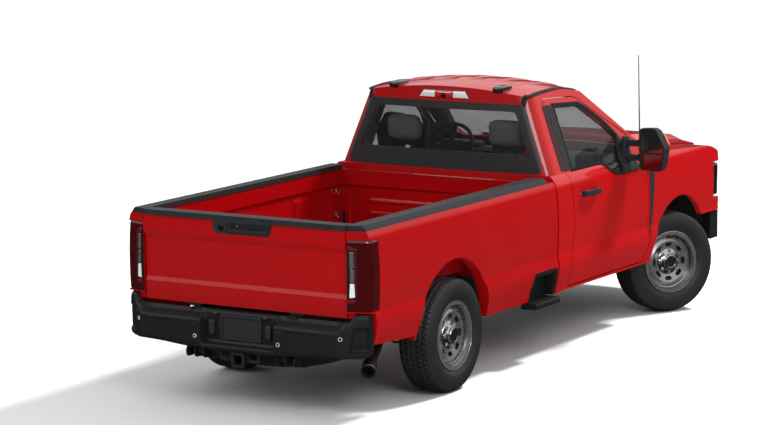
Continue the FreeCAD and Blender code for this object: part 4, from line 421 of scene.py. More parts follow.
def pane_finish(name, colour, alpha, border=None):
    """Tinted glass, dark and solid in its printed border where it has one."""
    material = new_material(name, Roughness=0.02, Coat_Weight=0.6, Coat_Roughness=0.01)
    shader = shader_of(material)
    smear = ranged(material, noise(material, 1.5), alpha, alpha * 1.12)
    if border is None:
        wire(material, smear, shader.inputs["Alpha"])
        shader.inputs["Base Color"].default_value = (*colour, 1.0)
        return material
    x, y, z = axes_of(material)
    maths = partial(sum_of, material)
    low_x, low_z, high_x, high_z = border
    lean = (high_x - low_x) / (high_z - low_z)
    edge_x = maths("ADD", maths("MULTIPLY", maths("SUBTRACT", z, low_z), lean), low_x)
    beyond_x = maths("SUBTRACT", maths("ABSOLUTE", x), edge_x)
    beyond_z = maths("MAXIMUM", maths("SUBTRACT", low_z, z), maths("SUBTRACT", z, high_z))
    beyond = maths("MAXIMUM", beyond_x, beyond_z)
    behind = ranged(material, y, 0.0, 1.0, -0.51, -0.49)
    printed = maths("MULTIPLY", ranged(material, beyond, 0.0, 1.0, -0.002, 0.002), behind)
    opaque = maths("MAXIMUM", printed, smear)
    wire(material, opaque, shader.inputs["Alpha"])
    wire(material, blended(material, printed, colour, (0.034, 0.035, 0.036)), shader.inputs["Base Color"])
    return material


def lens_finish(name, colour, lighter):
    """Moulded lens with a fine pattern of prisms behind its glossy face."""
    material = new_material(name, Roughness=0.08, Coat_Weight=1.0, Coat_Roughness=0.02)
    cells = add_node(material, "ShaderNodeTexVoronoi", Scale=260.0, Randomness=1.0)
    wire(material, place(material), cells.inputs["Vector"])
    prism = ranged(material, cells.outputs["Distance"], 0.0, 1.0, 0.1, 0.6)
    wire(material, blended(material, prism, lighter, colour), shader_of(material).inputs["Base Color"])
    roughened(material, prism, 0.12)
    return material


def cab_finish(name, colour, *values, **sockets):
    """Paint that turns to the lining's grey behind the cab's side, back, screen and roof skins."""
    material = finish(name, colour, *values, **sockets)
    x, y, z = axes_of(material)
    maths = partial(sum_of, material)
    skin = LINING_DEPTH
    square = maths("MULTIPLY", x, x)
    lean = maths("MULTIPLY", z, PILLAR_LEAN)
    side = maths("MINIMUM", maths("SUBTRACT", BELT_X + PILLAR_LEAN * BELT_Z - skin, lean), 0.966)
    beyond_side = maths("SUBTRACT", maths("ABSOLUTE", x), side)
    bow = maths("MULTIPLY", square, 1 / (2 * BACK_RADIUS))
    lean = maths("ADD", maths("MULTIPLY", z, BACK_LEAN), bow)
    back = maths("SUBTRACT", BACK_Y + BACK_LEAN * BACK_Z - skin, lean)
    beyond_back = maths("SUBTRACT", y, back)
    bow = maths("MULTIPLY", square, 1 / (2 * SCREEN_RADIUS))
    slope = maths("ADD", maths("MULTIPLY", z, SCREEN_SLOPE), bow)
    screen = maths("MAXIMUM", maths("ADD", slope, SCREEN_Y - SCREEN_SLOPE * SCREEN_Z + 2 * skin), -1.43)
    beyond_screen = maths("SUBTRACT", screen, y)
    ahead = maths("ADD", y, -ROOF_MIDDLE_Y)
    bow = maths("MULTIPLY", square, 1 / (2 * ROOF_RADIUS))
    fall = maths("ADD", bow, maths("MULTIPLY", maths("MULTIPLY", ahead, ahead), 0.2))
    beyond_roof = maths("SUBTRACT", maths("ADD", z, fall), ROOF_TOP - skin)
    beyond_ends = maths("MAXIMUM", beyond_screen, beyond_roof)
    beyond = maths("MAXIMUM", maths("MAXIMUM", beyond_side, beyond_back), beyond_ends)
    beyond = maths("MAXIMUM", beyond, maths("SUBTRACT", 0.60, z))
    for first, second in ((beyond_side, beyond_back), (beyond_side, beyond_roof), (beyond_back, beyond_roof),
                          (beyond_side, beyond_screen), (beyond_screen, beyond_roof)):
        beyond = maths("MAXIMUM", beyond, maths("ADD", maths("ADD", first, second), CORNER_DEPTH))
    inside = ranged(material, beyond, 1.0, 0.0, -0.002, 0.002)
    upper = ranged(material, z, 0.0, 1.0, 1.33, 1.36)
    lining = blended(material, upper, (0.060, 0.062, 0.065), (0.30, 0.30, 0.295))
    shader = shader_of(material)
    outside = shader.inputs["Base Color"].links[0].from_socket
    wire(material, blended(material, inside, outside, lining), shader.inputs["Base Color"])
    gloss = shader.inputs["Roughness"].links[0].from_socket
    wire(material, maths("MAXIMUM", gloss, maths("MULTIPLY", inside, 0.8)), shader.inputs["Roughness"])
    return material


def cloth_finish(name, colour):
    """Woven cloth: two crossing waves of yarn over the piece, and a soft sheen."""
    material = finish(name, colour, 0.86, 0.14, 40.0, Sheen_Weight=0.35)
    shader = shader_of(material)
    weave = []
    for turn in (0.0, math.pi / 2):
        mapping = add_node(material, "ShaderNodeMapping")
        mapping.inputs["Rotation"].default_value = (0.5, 0.3, turn)
        wire(material, place(material), mapping.inputs["Vector"])
        wave = add_node(material, "ShaderNodeTexWave", Scale=95.0, Distortion=0.6, Detail=1.0)
        wire(material, mapping.outputs["Vector"], wave.inputs["Vector"])
        weave.append(wave.outputs["Fac"])
    yarn = sum_of(material, "MULTIPLY", *weave)
    outside = shader.inputs["Base Color"].links[0].from_socket
    lighter = tuple(part * 1.5 for part in colour)
    wire(material, blended(material, yarn, outside, lighter), shader.inputs["Base Color"])
    roughened(material, yarn, 0.35)
    return material


def make_finishes():
    """Every finish of the vehicle, by its name."""
    colours = bpy.context.scene.pickup_colours
    paint = tuple(colours.paint)
    deep = tuple(part * 0.86 for part in paint)
    return {
        "paint": finish("body_paint", paint, 0.34, 0.02, 1.2, 0.02, 220.0, **GLOSS),
        "cab_paint": cab_finish("cab_paint", paint, 0.34, 0.02, 1.2, 0.02, 220.0, **GLOSS),
        "bed_paint": finish(
            "bed_paint",
            deep,
            0.34,
            0.05,
            3.0,
            0.03,
            260.0,
            Specular_IOR_Level=0.1,
            Coat_Weight=0.5,
            Coat_Roughness=0.05,
        ),
        "grained": finish(
            "grained_plastic",
            tuple(colours.plastic),
            0.52,
            0.15,
            40.0,
            0.35,
            700.0,
            Specular_IOR_Level=0.28,
        ),
        "textured_black": finish(
            "textured_black",
            (0.012, 0.012, 0.013),
            0.46,
            0.12,
            30.0,
            0.22,
            900.0,
            Specular_IOR_Level=0.22,
        ),
        "gloss_black": finish("gloss_black", (0.006, 0.006, 0.007), 0.12, 0.05, 5.0, Coat_Weight=0.6),
        "rubber": finish(
            "seal_rubber",
            (0.010, 0.010, 0.011),
            0.62,
            0.10,
            40.0,
            0.15,
            500.0,
            Specular_IOR_Level=0.28,
        ),
        "tyre": finish("tyre_rubber", (0.018, 0.018, 0.019), 0.50, 0.22, 9.0, 0.25, 420.0),
        "wheel": finish("wheel_paint", tuple(colours.wheel), 0.27, 0.04, 8.0, 0.05, 800.0, Metallic=0.85),
        "bright": finish("bright_metal", (0.62, 0.63, 0.64), 0.18, 0.04, 20.0, Metallic=1.0),
        "nut": finish("nut_steel", (0.30, 0.30, 0.31), 0.34, 0.12, 60.0, 0.10, 700.0, Metallic=1.0),
        "chassis": finish("chassis_black", (0.013, 0.013, 0.014), 0.50, 0.25, 12.0, 0.18, 300.0),
        "iron": finish("cast_iron", (0.055, 0.054, 0.053), 0.62, 0.30, 18.0, 0.45, 350.0, Metallic=0.7),
        "exhaust": finish("exhaust_steel", (0.11, 0.107, 0.103), 0.42, 0.30, 7.0, 0.10, 200.0, Metallic=1.0),
        "pane": pane_finish("side_glass", (0.020, 0.023, 0.023), 0.34),
        "rear_pane": pane_finish("screen_glass", (0.020, 0.023, 0.023), 0.34, (0.740, 1.486, 0.600, 1.805)),
        "lens_red": finish(
            "red_lens",
            (0.20, 0.004, 0.006),
            0.10,
            0.05,
            30.0,
            Coat_Weight=1.0,
            Coat_Roughness=0.02,
        ),
        "tail_lens": lens_finish("tail_lens", (0.030, 0.0015, 0.002), (0.105, 0.003, 0.004)),
        "lens_bright_red": lens_finish("stop_lens", (0.42, 0.010, 0.012), (0.62, 0.03, 0.03)),
        "reflector": finish(
            "lamp_reflector",
            (0.42, 0.43, 0.45),
            0.16,
            0.10,
            60.0,
            Metallic=0.8,
            Coat_Weight=1.0,
        ),
        "lens_white": finish("white_lens", (0.78, 0.79, 0.80), 0.12, 0.04, 60.0, Coat_Weight=1.0),
        "lens_amber": finish("amber_lens", (0.45, 0.14, 0.012), 0.12, 0.05, 60.0, Coat_Weight=1.0),
        "smoke_lens": finish("smoke_lens", (0.012, 0.011, 0.012), 0.10, 0.05, 60.0, Coat_Weight=1.0),
        "headlamp_cover": pane_finish("headlamp_cover", (0.05, 0.052, 0.054), 0.10),
        "seat_cushion": cloth_finish("seat_cushion", tuple(colours.cloth)),
        "mirror": finish("mirror_glass", (0.17, 0.175, 0.18), 0.10, 0.01, 2.0, Metallic=1.0),
        "cloth": finish("seat_cloth", tuple(colours.cloth), 0.88, 0.16, 260.0, 0.5, 1400.0, Sheen_Weight=0.4),
        "cabin": finish("cabin_plastic", (0.085, 0.088, 0.092), 0.60, 0.10, 50.0, 0.30, 800.0),
        "floor": finish("studio_floor", (0.86, 0.86, 0.86), 0.60, 0.01, 0.3),
    }


CAD_FINISHES = {
    "frame": "chassis", "cab": "cab_paint", "cab_glass": "rear_pane", "roof_lamps": "smoke_lens",
    "cowl": "grained", "front_fenders": "paint", "fender_trim": "grained", "wheel_liners": "rubber",
    "grille": "grained",
    "headlamps": "lens_white", "front_bumper": "textured_black", "bonnet": "paint", "engine": "iron",
    "driveline": "iron", "exhaust": "exhaust", "fuel_tank": "grained", "front_axle": "chassis",
    "rear_axle": "chassis", "suspension": "chassis", "box": "bed_paint", "box_steps": "textured_black",
    "rail_caps": "grained", "tail_lamps": "lens_red", "tailgate": "paint", "tailgate_cap": "grained",
    "rear_bumper": "textured_black", "hitch": "chassis", "seats": "cloth", "dashboard": "cabin",
    "steering_wheel": "cabin", "spare_tyre": "tyre", "spare_rim": "wheel",
}
for _side, _sign in SIDES:
    CAD_FINISHES["door_" + _side] = "cab_paint"
    CAD_FINISHES["door_glass_" + _side] = "pane"
    CAD_FINISHES["door_trim_" + _side] = "grained"
    CAD_FINISHES["knuckle_" + _side] = "iron"
    for _end in ("front", "rear"):
        CAD_FINISHES["tyre_%s_%s" % (_end, _side)] = "tyre"
        CAD_FINISHES["rim_%s_%s" % (_end, _side)] = "wheel"


class PICKUP_OT_finishes(bpy.types.Operator):
    """Make the finishes and give each solid its own"""

    bl_idname = "pickup.finishes"
    bl_label = "Finishes"

    def execute(self, context):
        FINISHES.update(make_finishes())
        for node, key in CAD_FINISHES.items():
            for material_slot in NODES[node].material_slots:
                material_slot.material = FINISHES[key]
        return {"FINISHED"}


# Tyres

TYRE_RADIUS = 0.407
TYRE_COLUMNS = 96
STEPS_PER_PITCH = 7
TYRE_SECTION = [
    # Across the tyre from its right bead to its crown, then the radius
    (-0.1029, 0.2289), (-0.1029, 0.2470), (-0.1120, 0.2570), (-0.1255, 0.2780), (-0.1318, 0.3020),
    (-0.1322, 0.3260), (-0.1290, 0.3500), (-0.1225, 0.3720), (-0.1130, 0.3900), (-0.1020, 0.3990),
    (-0.0720, 0.4055), (-0.0300, 0.4068),
]


def tread_depth_at(across, turn, pitches, depth):
    """How deep the tread is cut: four grooves round it, and slots set off from rib to rib."""
    grooves = np.zeros_like(across * turn)
    for centre, width in ((-0.066, 0.009), (-0.023, 0.008), (0.023, 0.008), (0.066, 0.009)):
        wave = centre + 0.0025 * np.sin(turn * pitches)
        grooves = np.maximum(grooves, 1.0 - smooth(width * 0.35, width * 0.62, np.abs(across - wave)))
    rib = np.floor((across + 0.0885) / 0.0435)
    phase = turn * pitches / (2 * math.pi) + rib * 0.37 + across * 9.0
    slot = np.abs(phase - np.floor(phase) - 0.5)
    slots = 1.0 - smooth(0.05, 0.11, slot)
    inner = 1.0 - smooth(0.020, 0.024, np.abs(across))
    cut = np.maximum(grooves, slots * (1.0 - 0.75 * inner))
    return depth * cut * (1.0 - smooth(0.104, 0.113, np.abs(across)))


def tyre_shape(matrix, pitches, depth):
    """A tyre: its section turned about the axle, cut by the tread, with rings round its walls."""
    half = np.array(TYRE_SECTION)
    side = through(half, 4)
    crown = np.stack([np.linspace(-0.0300, 0.0300, 17)[1:-1], np.full(15, TYRE_RADIUS - 0.0001)], axis=1)
    section = np.concatenate([side, crown, side[::-1] * np.array([-1.0, 1.0])])
    across = section[:, 0]
    radius = section[:, 1]
    at = np.linspace(0, 1, TYRE_COLUMNS)
    dense = np.interp(at, np.linspace(0, 1, len(across)), across)
    dense_radius = np.interp(at, np.linspace(0, 1, len(radius)), radius)
    steps = pitches * STEPS_PER_PITCH
    turn = np.linspace(0, 2 * math.pi, steps, endpoint=False)[:, None]
    cut = tread_depth_at(dense[None, :], turn, pitches, depth)
    ring = 0.0012 * np.exp(-((dense_radius - 0.345) / 0.0022) ** 2)
    ring += 0.0016 * np.exp(-((dense_radius - 0.272) / 0.0026) ** 2)
    out = dense - np.sign(dense) * ring
    r = dense_radius[None, :] - cut
    grid = sheet(out[None, :], r * np.cos(turn), r * np.sin(turn))
    points, faces = moved(surface(grid, close_rows=True, close_columns=False), matrix)
    first = np.arange(steps) * TYRE_COLUMNS
    last = first + TYRE_COLUMNS - 1
    bead = np.stack([first, last, np.roll(last, -1), np.roll(first, -1)], axis=1).tolist()
    return points, faces + bead


def wheels():
    """Each wheel's name, where it stands, its x along the axle, and the way out along that x."""
    for side, sign in SIDES:
        for end in ("front", "rear"):
            wheel = "%s_%s" % (end, side)
            joint = next(item for item in frame["joints"] if item["name"] == "wheel_%s_spin" % wheel)
            axle = Vector(joint["axis"]).normalized()
            up = Vector((0, 0, 1))
            low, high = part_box("tyre_" + wheel)
            matrix = Matrix((axle, up.cross(axle), up)).transposed().to_4x4()
            matrix.translation = (low + high) / 2
            yield wheel, matrix, sign if axle.x > 0 else -sign


class PICKUP_OT_tyres(bpy.types.Operator):
    """Tyres with their tread and the rings round their walls"""

    bl_idname = "pickup.tyres"
    bl_label = "Tyres"

    def execute(self, context):
        sizes = context.scene.pickup_sizes
        for wheel, matrix, _ in wheels():
            shape = tyre_shape(matrix, sizes.tread_pitches, sizes.tread_depth)
            tyre = piece("tread_" + wheel, [shape], "tyre", "tyre_rubber", "wheel_" + wheel)
            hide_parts("tyre_" + wheel)
        return {"FINISHED"}


# Rear bumper

BUMPER_PLAN = [(0.0, 2.9405), (0.800, 2.9405, 0.16), (0.984, 2.800, 0.05), (0.984, 2.747)]
BUMPER_STEPS = 330
# Sections of the skin as (inwards, up), from the lower inner edge over the face to the tailgate
BUMPER_MIDDLE = [
    (0.085, 0.440), (0.035, 0.418), (0.010, 0.421), (0.001, 0.432), (0.000, 0.448), (0.004, 0.457),
    (0.014, 0.461), (0.056, 0.466), (0.066, 0.480), (0.068, 0.560), (0.070, 0.640), (0.072, 0.672),
    (0.080, 0.684), (0.108, 0.688), (0.114, 0.560),
]
BUMPER_KEYS = [
    # How far along the plan, then the section there
    (0.000, BUMPER_MIDDLE), (0.283, BUMPER_MIDDLE),
    (0.304, [(0.085, 0.440), (0.035, 0.420), (0.012, 0.424), (0.003, 0.436), (0.000, 0.458), (0.000, 0.500),
             (0.000, 0.545), (0.000, 0.590), (0.001, 0.612), (0.004, 0.626), (0.012, 0.634), (0.026, 0.638),
             (0.086, 0.655), (0.108, 0.688), (0.114, 0.560)]),
    (0.790, [(0.085, 0.470), (0.035, 0.448), (0.012, 0.452), (0.003, 0.463), (0.000, 0.482), (0.000, 0.515),
             (0.000, 0.550), (0.000, 0.590), (0.001, 0.612), (0.004, 0.626), (0.012, 0.634), (0.026, 0.638),
             (0.086, 0.655), (0.108, 0.688), (0.114, 0.560)]),
    (0.885, [(0.085, 0.464), (0.035, 0.444), (0.012, 0.446), (0.003, 0.456), (0.000, 0.474), (0.000, 0.520),
             (0.000, 0.570), (0.000, 0.620), (0.001, 0.658), (0.005, 0.680), (0.014, 0.690), (0.028, 0.692),
             (0.060, 0.690), (0.090, 0.688), (0.096, 0.560)]),
    (0.950, [(0.070, 0.460), (0.035, 0.442), (0.012, 0.444), (0.003, 0.454), (0.000, 0.472), (0.000, 0.520),
             (0.000, 0.600), (0.001, 0.660), (0.003, 0.708), (0.008, 0.730), (0.016, 0.740), (0.030, 0.744),
             (0.044, 0.738), (0.050, 0.700), (0.052, 0.560)]),
    (1.150, [(0.060, 0.484), (0.035, 0.466), (0.012, 0.468), (0.003, 0.478), (0.000, 0.496), (0.000, 0.540),
             (0.000, 0.600), (0.001, 0.660), (0.003, 0.712), (0.008, 0.736), (0.014, 0.746), (0.024, 0.750),
             (0.034, 0.744), (0.040, 0.700), (0.042, 0.560)]),
]


def lengths(line):
    """How far along a polyline each of its points is."""
    line = np.asarray(line, dtype=float)
    return np.concatenate([[0], np.cumsum(np.linalg.norm(np.diff(line, axis=0), axis=1))])


def resampled(line, steps):
    """A polyline resampled evenly by its own length."""
    line = np.asarray(line, dtype=float)
    length = lengths(line)
    at = np.linspace(0, length[-1], steps)
    return np.stack([np.interp(at, length, line[:, axis]) for axis in (0, 1)], axis=1)


def bumper_line():
    """Places evenly along the bumper's smoothed plan: how far, the point, and the way inwards,
    square to the line."""
    line = rounded_path(BUMPER_PLAN, 14)
    points = resampled(line, BUMPER_STEPS)
    along = np.linspace(0, lengths(line)[-1], BUMPER_STEPS)
    ahead = np.gradient(points, axis=0)
    ahead /= np.linalg.norm(ahead, axis=1)[:, None]
    inwards = np.stack([ahead[:, 1], -ahead[:, 0]], axis=1)
    inwards[0] = (0.0, -1.0)
    return along, points, inwards


def bumper_half():
    """Left half of the bumper's skin: a section carried along the plan, easing from key to key,
    with a pressed pocket at the corner, a shallow panel in the face and a groove over it."""
    along, points, inwards = bumper_line()
    keys = np.array([key for key, _ in BUMPER_KEYS])
    sections = np.array([resampled(section, 90) for _, section in BUMPER_KEYS])
    at = np.clip(np.searchsorted(keys, along, side="right") - 1, 0, len(keys) - 2)
    share = smooth(0.0, 1.0, (along - keys[at]) / (keys[at + 1] - keys[at]))[:, None, None]
    section = sections[at] * (1 - share) + sections[at + 1] * share
    inward, up = section[..., 0], section[..., 1]
    s = along[:, None]
    slant = 0.16 * (up - 0.49)
    pocket = smooth(0.890, 0.900, s - slant) * (1 - smooth(1.040, 1.050, s + 0.3 * slant))
    pocket = pocket * smooth(0.488, 0.498, up) * (1 - smooth(0.648, 0.658, up)) * (inward < 0.02)
    panel = smooth(0.370, 0.376, s) * (1 - smooth(0.782, 0.790, s - slant))
    panel = panel * (1 - smooth(0.594, 0.602, up)) * (inward < 0.02)
    lip = np.exp(-((up - 0.600) / 0.004) ** 2) * smooth(0.320, 0.335, s) * (1 - smooth(0.80, 0.83, s))
    inward = inward + 0.034 * pocket + 0.005 * panel + 0.003 * lip * (inward < 0.02)
    x, y = (points[:, axis, None] + inwards[:, axis, None] * inward for axis in (0, 1))
    return sheet(x, y, up)


def bumper_shape():
    """Both halves joined at the middle, then doubled inwards to a closed wall."""
    half = bumper_half()
    grid = np.concatenate([half[:0:-1] * np.array([-1.0, 1.0, 1.0]), half])
    return plate(grid, grid + normals_of(grid) * 0.004)


def laid(node, path, proud):
    """A path moved to the nearest places of a solid, and out from them by a little."""
    item = NODES[node]
    inverse = item.matrix_world.inverted()
    found = [item.closest_point_on_mesh(inverse @ Vector(point)) for point in path]
    return np.array([tuple(item.matrix_world @ (spot + normal * proud)) for _, spot, normal, _ in found])


def normals_of(grid):
    """Unit normals of a grid, across its rows and columns."""
    across = np.gradient(grid, axis=0)
    along = np.gradient(grid, axis=1)
    normal = np.cross(across, along)
    return normal / np.maximum(np.linalg.norm(normal, axis=-1, keepdims=True), 1e-12)


def plate(front, back):
    """A closed skin between two grids of the same shape, joined round their edge."""
    rows, columns = front.shape[:2]
    count = rows * columns
    faces = grid_faces(rows, columns, False, False)
    faces += [[index + count for index in face[::-1]] for face in faces]
    index = np.arange(count).reshape(rows, columns)
    edge = np.concatenate([index[0, :-1], index[:-1, -1], index[-1, :0:-1], index[:0:-1, 0]])
    after = np.roll(edge, -1)
    faces += np.stack([edge, edge + count, after + count, after], axis=1).tolist()
    return np.concatenate([front.reshape(-1, 3), back.reshape(-1, 3)]), faces


def thickened(grid, way):
    """A plate from its front, its back moved off by a way."""
    return plate(grid, grid + np.array(way))


def ribbed_pad(x_low, x_high, ribs):
    """A step pad: a sheet over the step whose height runs in slanting ridges along the vehicle."""
    x = np.linspace(x_low, x_high, ribs * 8 + 1)[:, None]
    depth = np.linspace(0.024, 0.090, 12)[None, :]
    turns = (x - 0.35 * depth - x_low) / (x_high - x_low) * ribs
    ridge = 0.0035 * smooth(-0.3, 0.3, np.sin(turns * 2 * math.pi))
    edge = smooth(0.024, 0.030, depth) * (1 - smooth(0.084, 0.090, depth))
    z = 0.6385 + (depth - 0.026) * 0.28 + 0.001 + ridge * edge
    return thickened(sheet(x, 2.9405 - depth, z), (0.0, 0.0, -0.006))


def ring_shape(centre, facing, radius, tube):
    """A ring: a small circle turned about the way it faces."""
    circle = disc_section(tube, 10) + np.array([0.0, radius])
    return lathe(circle, centre, facing, 28)


def dome_shape(centre, facing, radius, height):
    """A low dome on a short wall."""
    t = np.linspace(0, math.pi / 2, 7)
    profile = [(-height, 0.0), (-height, radius), *zip(height * np.sin(t) * 0.6, radius * np.cos(t) + 1e-5)]
    return lathe(profile, centre, facing, 24)


def slab(path, plane, low, high):
    """A flat outline carried straight through its plane; the outline runs round its edge."""
    path = np.asarray(path, dtype=float)
    level = np.array([low, high])[:, None]
    return surface(sheet(path[None, :, 0], path[None, :, 1], level)[..., PLANES[plane]], capped=True)


def rounded_path(corners, steps=6):
    """A closed outline whose (a, b, radius) corners are rounded: a quadratic curve between the
    places where a circle of that radius would touch the two sides."""
    corners = [tuple(corner) + (0.0,) * (3 - len(corner)) for corner in corners]
    count = len(corners)
    path = []
    for index, (a, b, radius) in enumerate(corners):
        here = np.array([a, b])
        if radius == 0:
            path.append(here[None])
            continue
        before = np.array(corners[index - 1][:2]) - here
        after = np.array(corners[(index + 1) % count][:2]) - here
        before /= np.linalg.norm(before)
        after /= np.linalg.norm(after)
        half = math.acos(max(-1.0, min(1.0, float(before @ after)))) / 2
        reach = radius / math.tan(half)
        t = np.linspace(0, 1, steps)[:, None]
        first, last = here + before * reach, here + after * reach
        path.append((1 - t) ** 2 * first + 2 * t * (1 - t) * here + t ** 2 * last)
    return np.concatenate(path)


def rectangle(low, high, radii, steps=6):
    """A rectangle between two corners, its four corners turned by one radius or by one each."""
    first, second, third, fourth = np.broadcast_to(radii, 4)
    corners = [(*low, first), (high[0], low[1], second), (*high, third), (low[0], high[1], fourth)]
    return rounded_path(corners, steps)


def frame_shape(path, inner, plane, low, high):
    """A flat ring between an outline and its inner outline, the same count of points in both."""
    path = np.asarray(path, dtype=float)
    inner = np.asarray(inner, dtype=float)
    rings = [(path, low), (path, high), (inner, high), (inner, low)]
    grid = np.stack([sheet(ring[:, 0], ring[:, 1], level) for ring, level in rings], axis=1)
    return surface(grid[..., PLANES[plane]], close_rows=True, close_columns=True)


def softened(item, width):
    """Rounds the edges of a piece."""
    bevel = item.modifiers.new("bevel", "BEVEL")
    bevel.width = width
    bevel.segments = 2
    bevel.limit_method = "ANGLE"
    bevel.angle_limit = math.radians(40)
    bevel.use_clamp_overlap = True
    bevel.harden_normals = False
    return item


def corner_point(s, z, proud):
    """A place on the bumper's left face and the way out from it."""
    along, points, inwards = bumper_line()
    index = int(np.clip(np.searchsorted(along, s), 0, BUMPER_STEPS - 1))
    out = -inwards[index]
    spot = points[index] + out * proud
    return (spot[0], spot[1], z), (out[0], out[1], 0.0)


class PICKUP_OT_rear_bumper(bpy.types.Operator):
    """Rear bumper with its ribbed pads, sensors, corner treads, plate holder, shelf and hinges"""

    bl_idname = "pickup.rear_bumper"
    bl_label = "Rear bumper"

    def execute(self, context):
        skin = piece("rear_bumper_skin", [bumper_shape()], "textured_black", "grained_black")
        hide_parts("rear_bumper")
        pads = mirrored_too([ribbed_pad(0.318, 0.850, 22)])
        piece("bumper_pads", pads, "rubber", "grained_black")
        rings, eyes = [], []
        for s, z in ((0.338, 0.508), (0.828, 0.586)):
            centre, out = corner_point(s, z, 0.0005)
            rings += mirrored_too([ring_shape(centre, out, 0.0120, 0.0028)])
            eyes += mirrored_too([dome_shape(centre, out, 0.0100, 0.0022)])
        # The sensor rings are painted light grey in place of bright metal: the colour is a painted
        # reflection, standing in for the bright glint of metal bezels
        piece("bumper_sensor_rings", rings, "lens_white", "steel")
        piece("bumper_sensors", eyes, "gloss_black", "gloss_black")
        outer = rectangle((-0.17, 0.490), (0.17, 0.665), 0.02)
        inner = rectangle((-0.152, 0.508), (0.152, 0.647), 0.01)
        holder = [frame_shape(outer, inner, "XZ", 2.870, 2.884), slab(inner, "XZ", 2.868, 2.877)]
        for x, z in ((-0.13, 0.63), (0.13, 0.63), (-0.13, 0.525), (0.13, 0.525)):
            holder.append(dome_shape((x, 2.879, z), (0, 1, 0), 0.006, 0.003))
        lamps = []
        for side in (1, -1):
            lamps.append(pillow((side * 0.205, 2.884, 0.664), (0.022, 0.010, 0.008), 0.35))
            holder.append(pillow((side * 0.232, 2.884, 0.570), (0.022, 0.016, 0.052), 0.4))
        softened(piece("plate_holder", holder, "grained", "grained_black"), 0.002)
        piece("plate_lamps", lamps, "smoke_lens", "lens_clear")
        treads = []
        for row in range(5):
            height, depth = 0.497 + row * 0.003, 0.004 + row * 0.006
            path = [corner_point(s, height, -depth)[0] for s in np.linspace(0.905, 1.040, 12)]
            treads += mirrored_too([swept(bar_section(0.0035, 0.0035), path)])
        piece("corner_treads", treads, "grained", "grained_black")
        x = np.linspace(-0.80, 0.80, 41)[:, None]
        y = np.linspace(2.700, 2.834, 9)[None, :]
        z = 0.652 - 0.020 * smooth(2.72, 2.70, y) + 0.004 * np.cos(x * 40) * smooth(2.70, 2.72, y)
        shelf = thickened(sheet(x, y, z), (0.0, 0.0, -0.006))
        hinges = [pillow((side * 0.42, 2.816, 0.704), (0.055, 0.008, 0.012), 0.3) for side in (1, -1)]
        piece("tailgate_hinges", hinges, "textured_black", "grained_black", "tailgate")
        piece("bumper_shelf", [shelf], "textured_black", "grained_black")
        return {"FINISHED"}


# Lamps

TAIL_LAMP_PARTS = [
    # Name, finish, slot, how far proud of the lamp, how soft its edges are, and its outlines
    ("tail_lamp_column", "smoke_lens", "lens_red", 0.0015, 0.002, [
        [(0.834, 0.800, 0.004), (0.902, 0.815, 0.012), (0.902, 1.185, 0.020), (0.834, 1.215, 0.006)],
    ]),
    ("reversing_lamps", "lens_white", "lens_clear", 0.0040, 0.002, [
        [(0.851, 0.856, 0.005), (0.889, 0.862, 0.006), (0.884, 0.953, 0.004), (0.856, 0.955, 0.004)],
    ]),
    ("tail_lamp_mirrors", "reflector", "lens_clear", 0.0040, 0.002, [
        [(0.856, 0.962, 0.004), (0.884, 0.964, 0.004), (0.882, 1.046, 0.010), (0.856, 1.052, 0.004)],
        [(0.853, 1.058, 0.004), (0.882, 1.060, 0.004), (0.880, 1.164, 0.010), (0.853, 1.170, 0.004)],
    ]),
    ("tail_lamp_glow", "lens_red", "lens_red", 0.0042, 0.001, [
        [(0.8925, 0.860, 0.002), (0.8965, 0.860, 0.002), (0.8935, 1.176, 0.002), (0.8875, 1.180, 0.002)],
        [(0.842, 1.182, 0.004), (0.884, 1.178, 0.008), (0.880, 1.196, 0.006), (0.842, 1.204, 0.003)],
        [(0.842, 0.818, 0.004), (0.894, 0.826, 0.008), (0.890, 0.846, 0.006), (0.842, 0.844, 0.003)],
    ]),
]


class PICKUP_OT_lamps(bpy.types.Operator):
    """Tail lamps, the stop lamp with its cargo lamps, and the marker lamps on the roof"""

    bl_idname = "pickup.lamps"
    bl_label = "Lamps"

    def execute(self, context):
        lamp = piece("tail_lamp_lens", mirrored_too([tail_lamp_skin()]), "tail_lens", "lens_red")
        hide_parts("tail_lamps")
        for name, key, slot, proud, soft, outlines in TAIL_LAMP_PARTS:
            shapes = mirrored_too([back_slab(rounded_path(outline), proud) for outline in outlines])
            softened(piece(name, shapes, key, slot), soft)
        housing = stop_lamp_grid([(-0.222, 1.884), (0.222, 1.884), (0.184, 1.944), (-0.184, 1.944)])
        housing = housing - np.array([0.0, 0.0035, 0.0])
        covers = [thickened(housing, (0.0, -0.014, 0.0))]
        for x in (0.45, -0.45):
            covers.append(pillow((x, -0.020, roof_z(x, -0.02) + 0.004), (0.045, 0.098, 0.026), 0.45))
        lamps = piece("roof_lamp_covers", covers, "smoke_lens", "gloss_black")
        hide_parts("roof_lamps")
        white = stop_lamp_grid([(0.078, 1.889), (0.214, 1.889), (0.178, 1.938), (0.078, 1.938)])
        red = stop_lamp_grid([(-0.074, 1.889), (0.074, 1.889), (0.074, 1.938), (-0.074, 1.938)])
        inwards = (0.0, -0.010, 0.0)
        piece("cargo_lamps", mirrored_too([thickened(white, inwards)]), "lens_white", "lens_clear")
        piece("stop_lamp", [thickened(red, inwards)], "lens_bright_red", "lens_red")
        facing = (0, 1, -0.3)
        eye = [
            dome_shape((0.0, 0.0945, 1.906), facing, 0.011, 0.006),
            ring_shape((0.0, 0.0905, 1.907), facing, 0.017, 0.004),
        ]
        piece("cargo_camera", eye, "gloss_black", "gloss_black")
        return {"FINISHED"}


def back_slab(path, proud):
    """An outline on the left tail lamp's rear face, which runs forward from its inner edge."""
    path = np.asarray(path, dtype=float)
    rear = 2.843 - 0.306 * (path[:, 0] - 0.832) + proud
    depth = np.array([0.006, 0.0])[:, None]
    return surface(sheet(path[:, 0], rear - depth, path[:, 1]), capped=True)


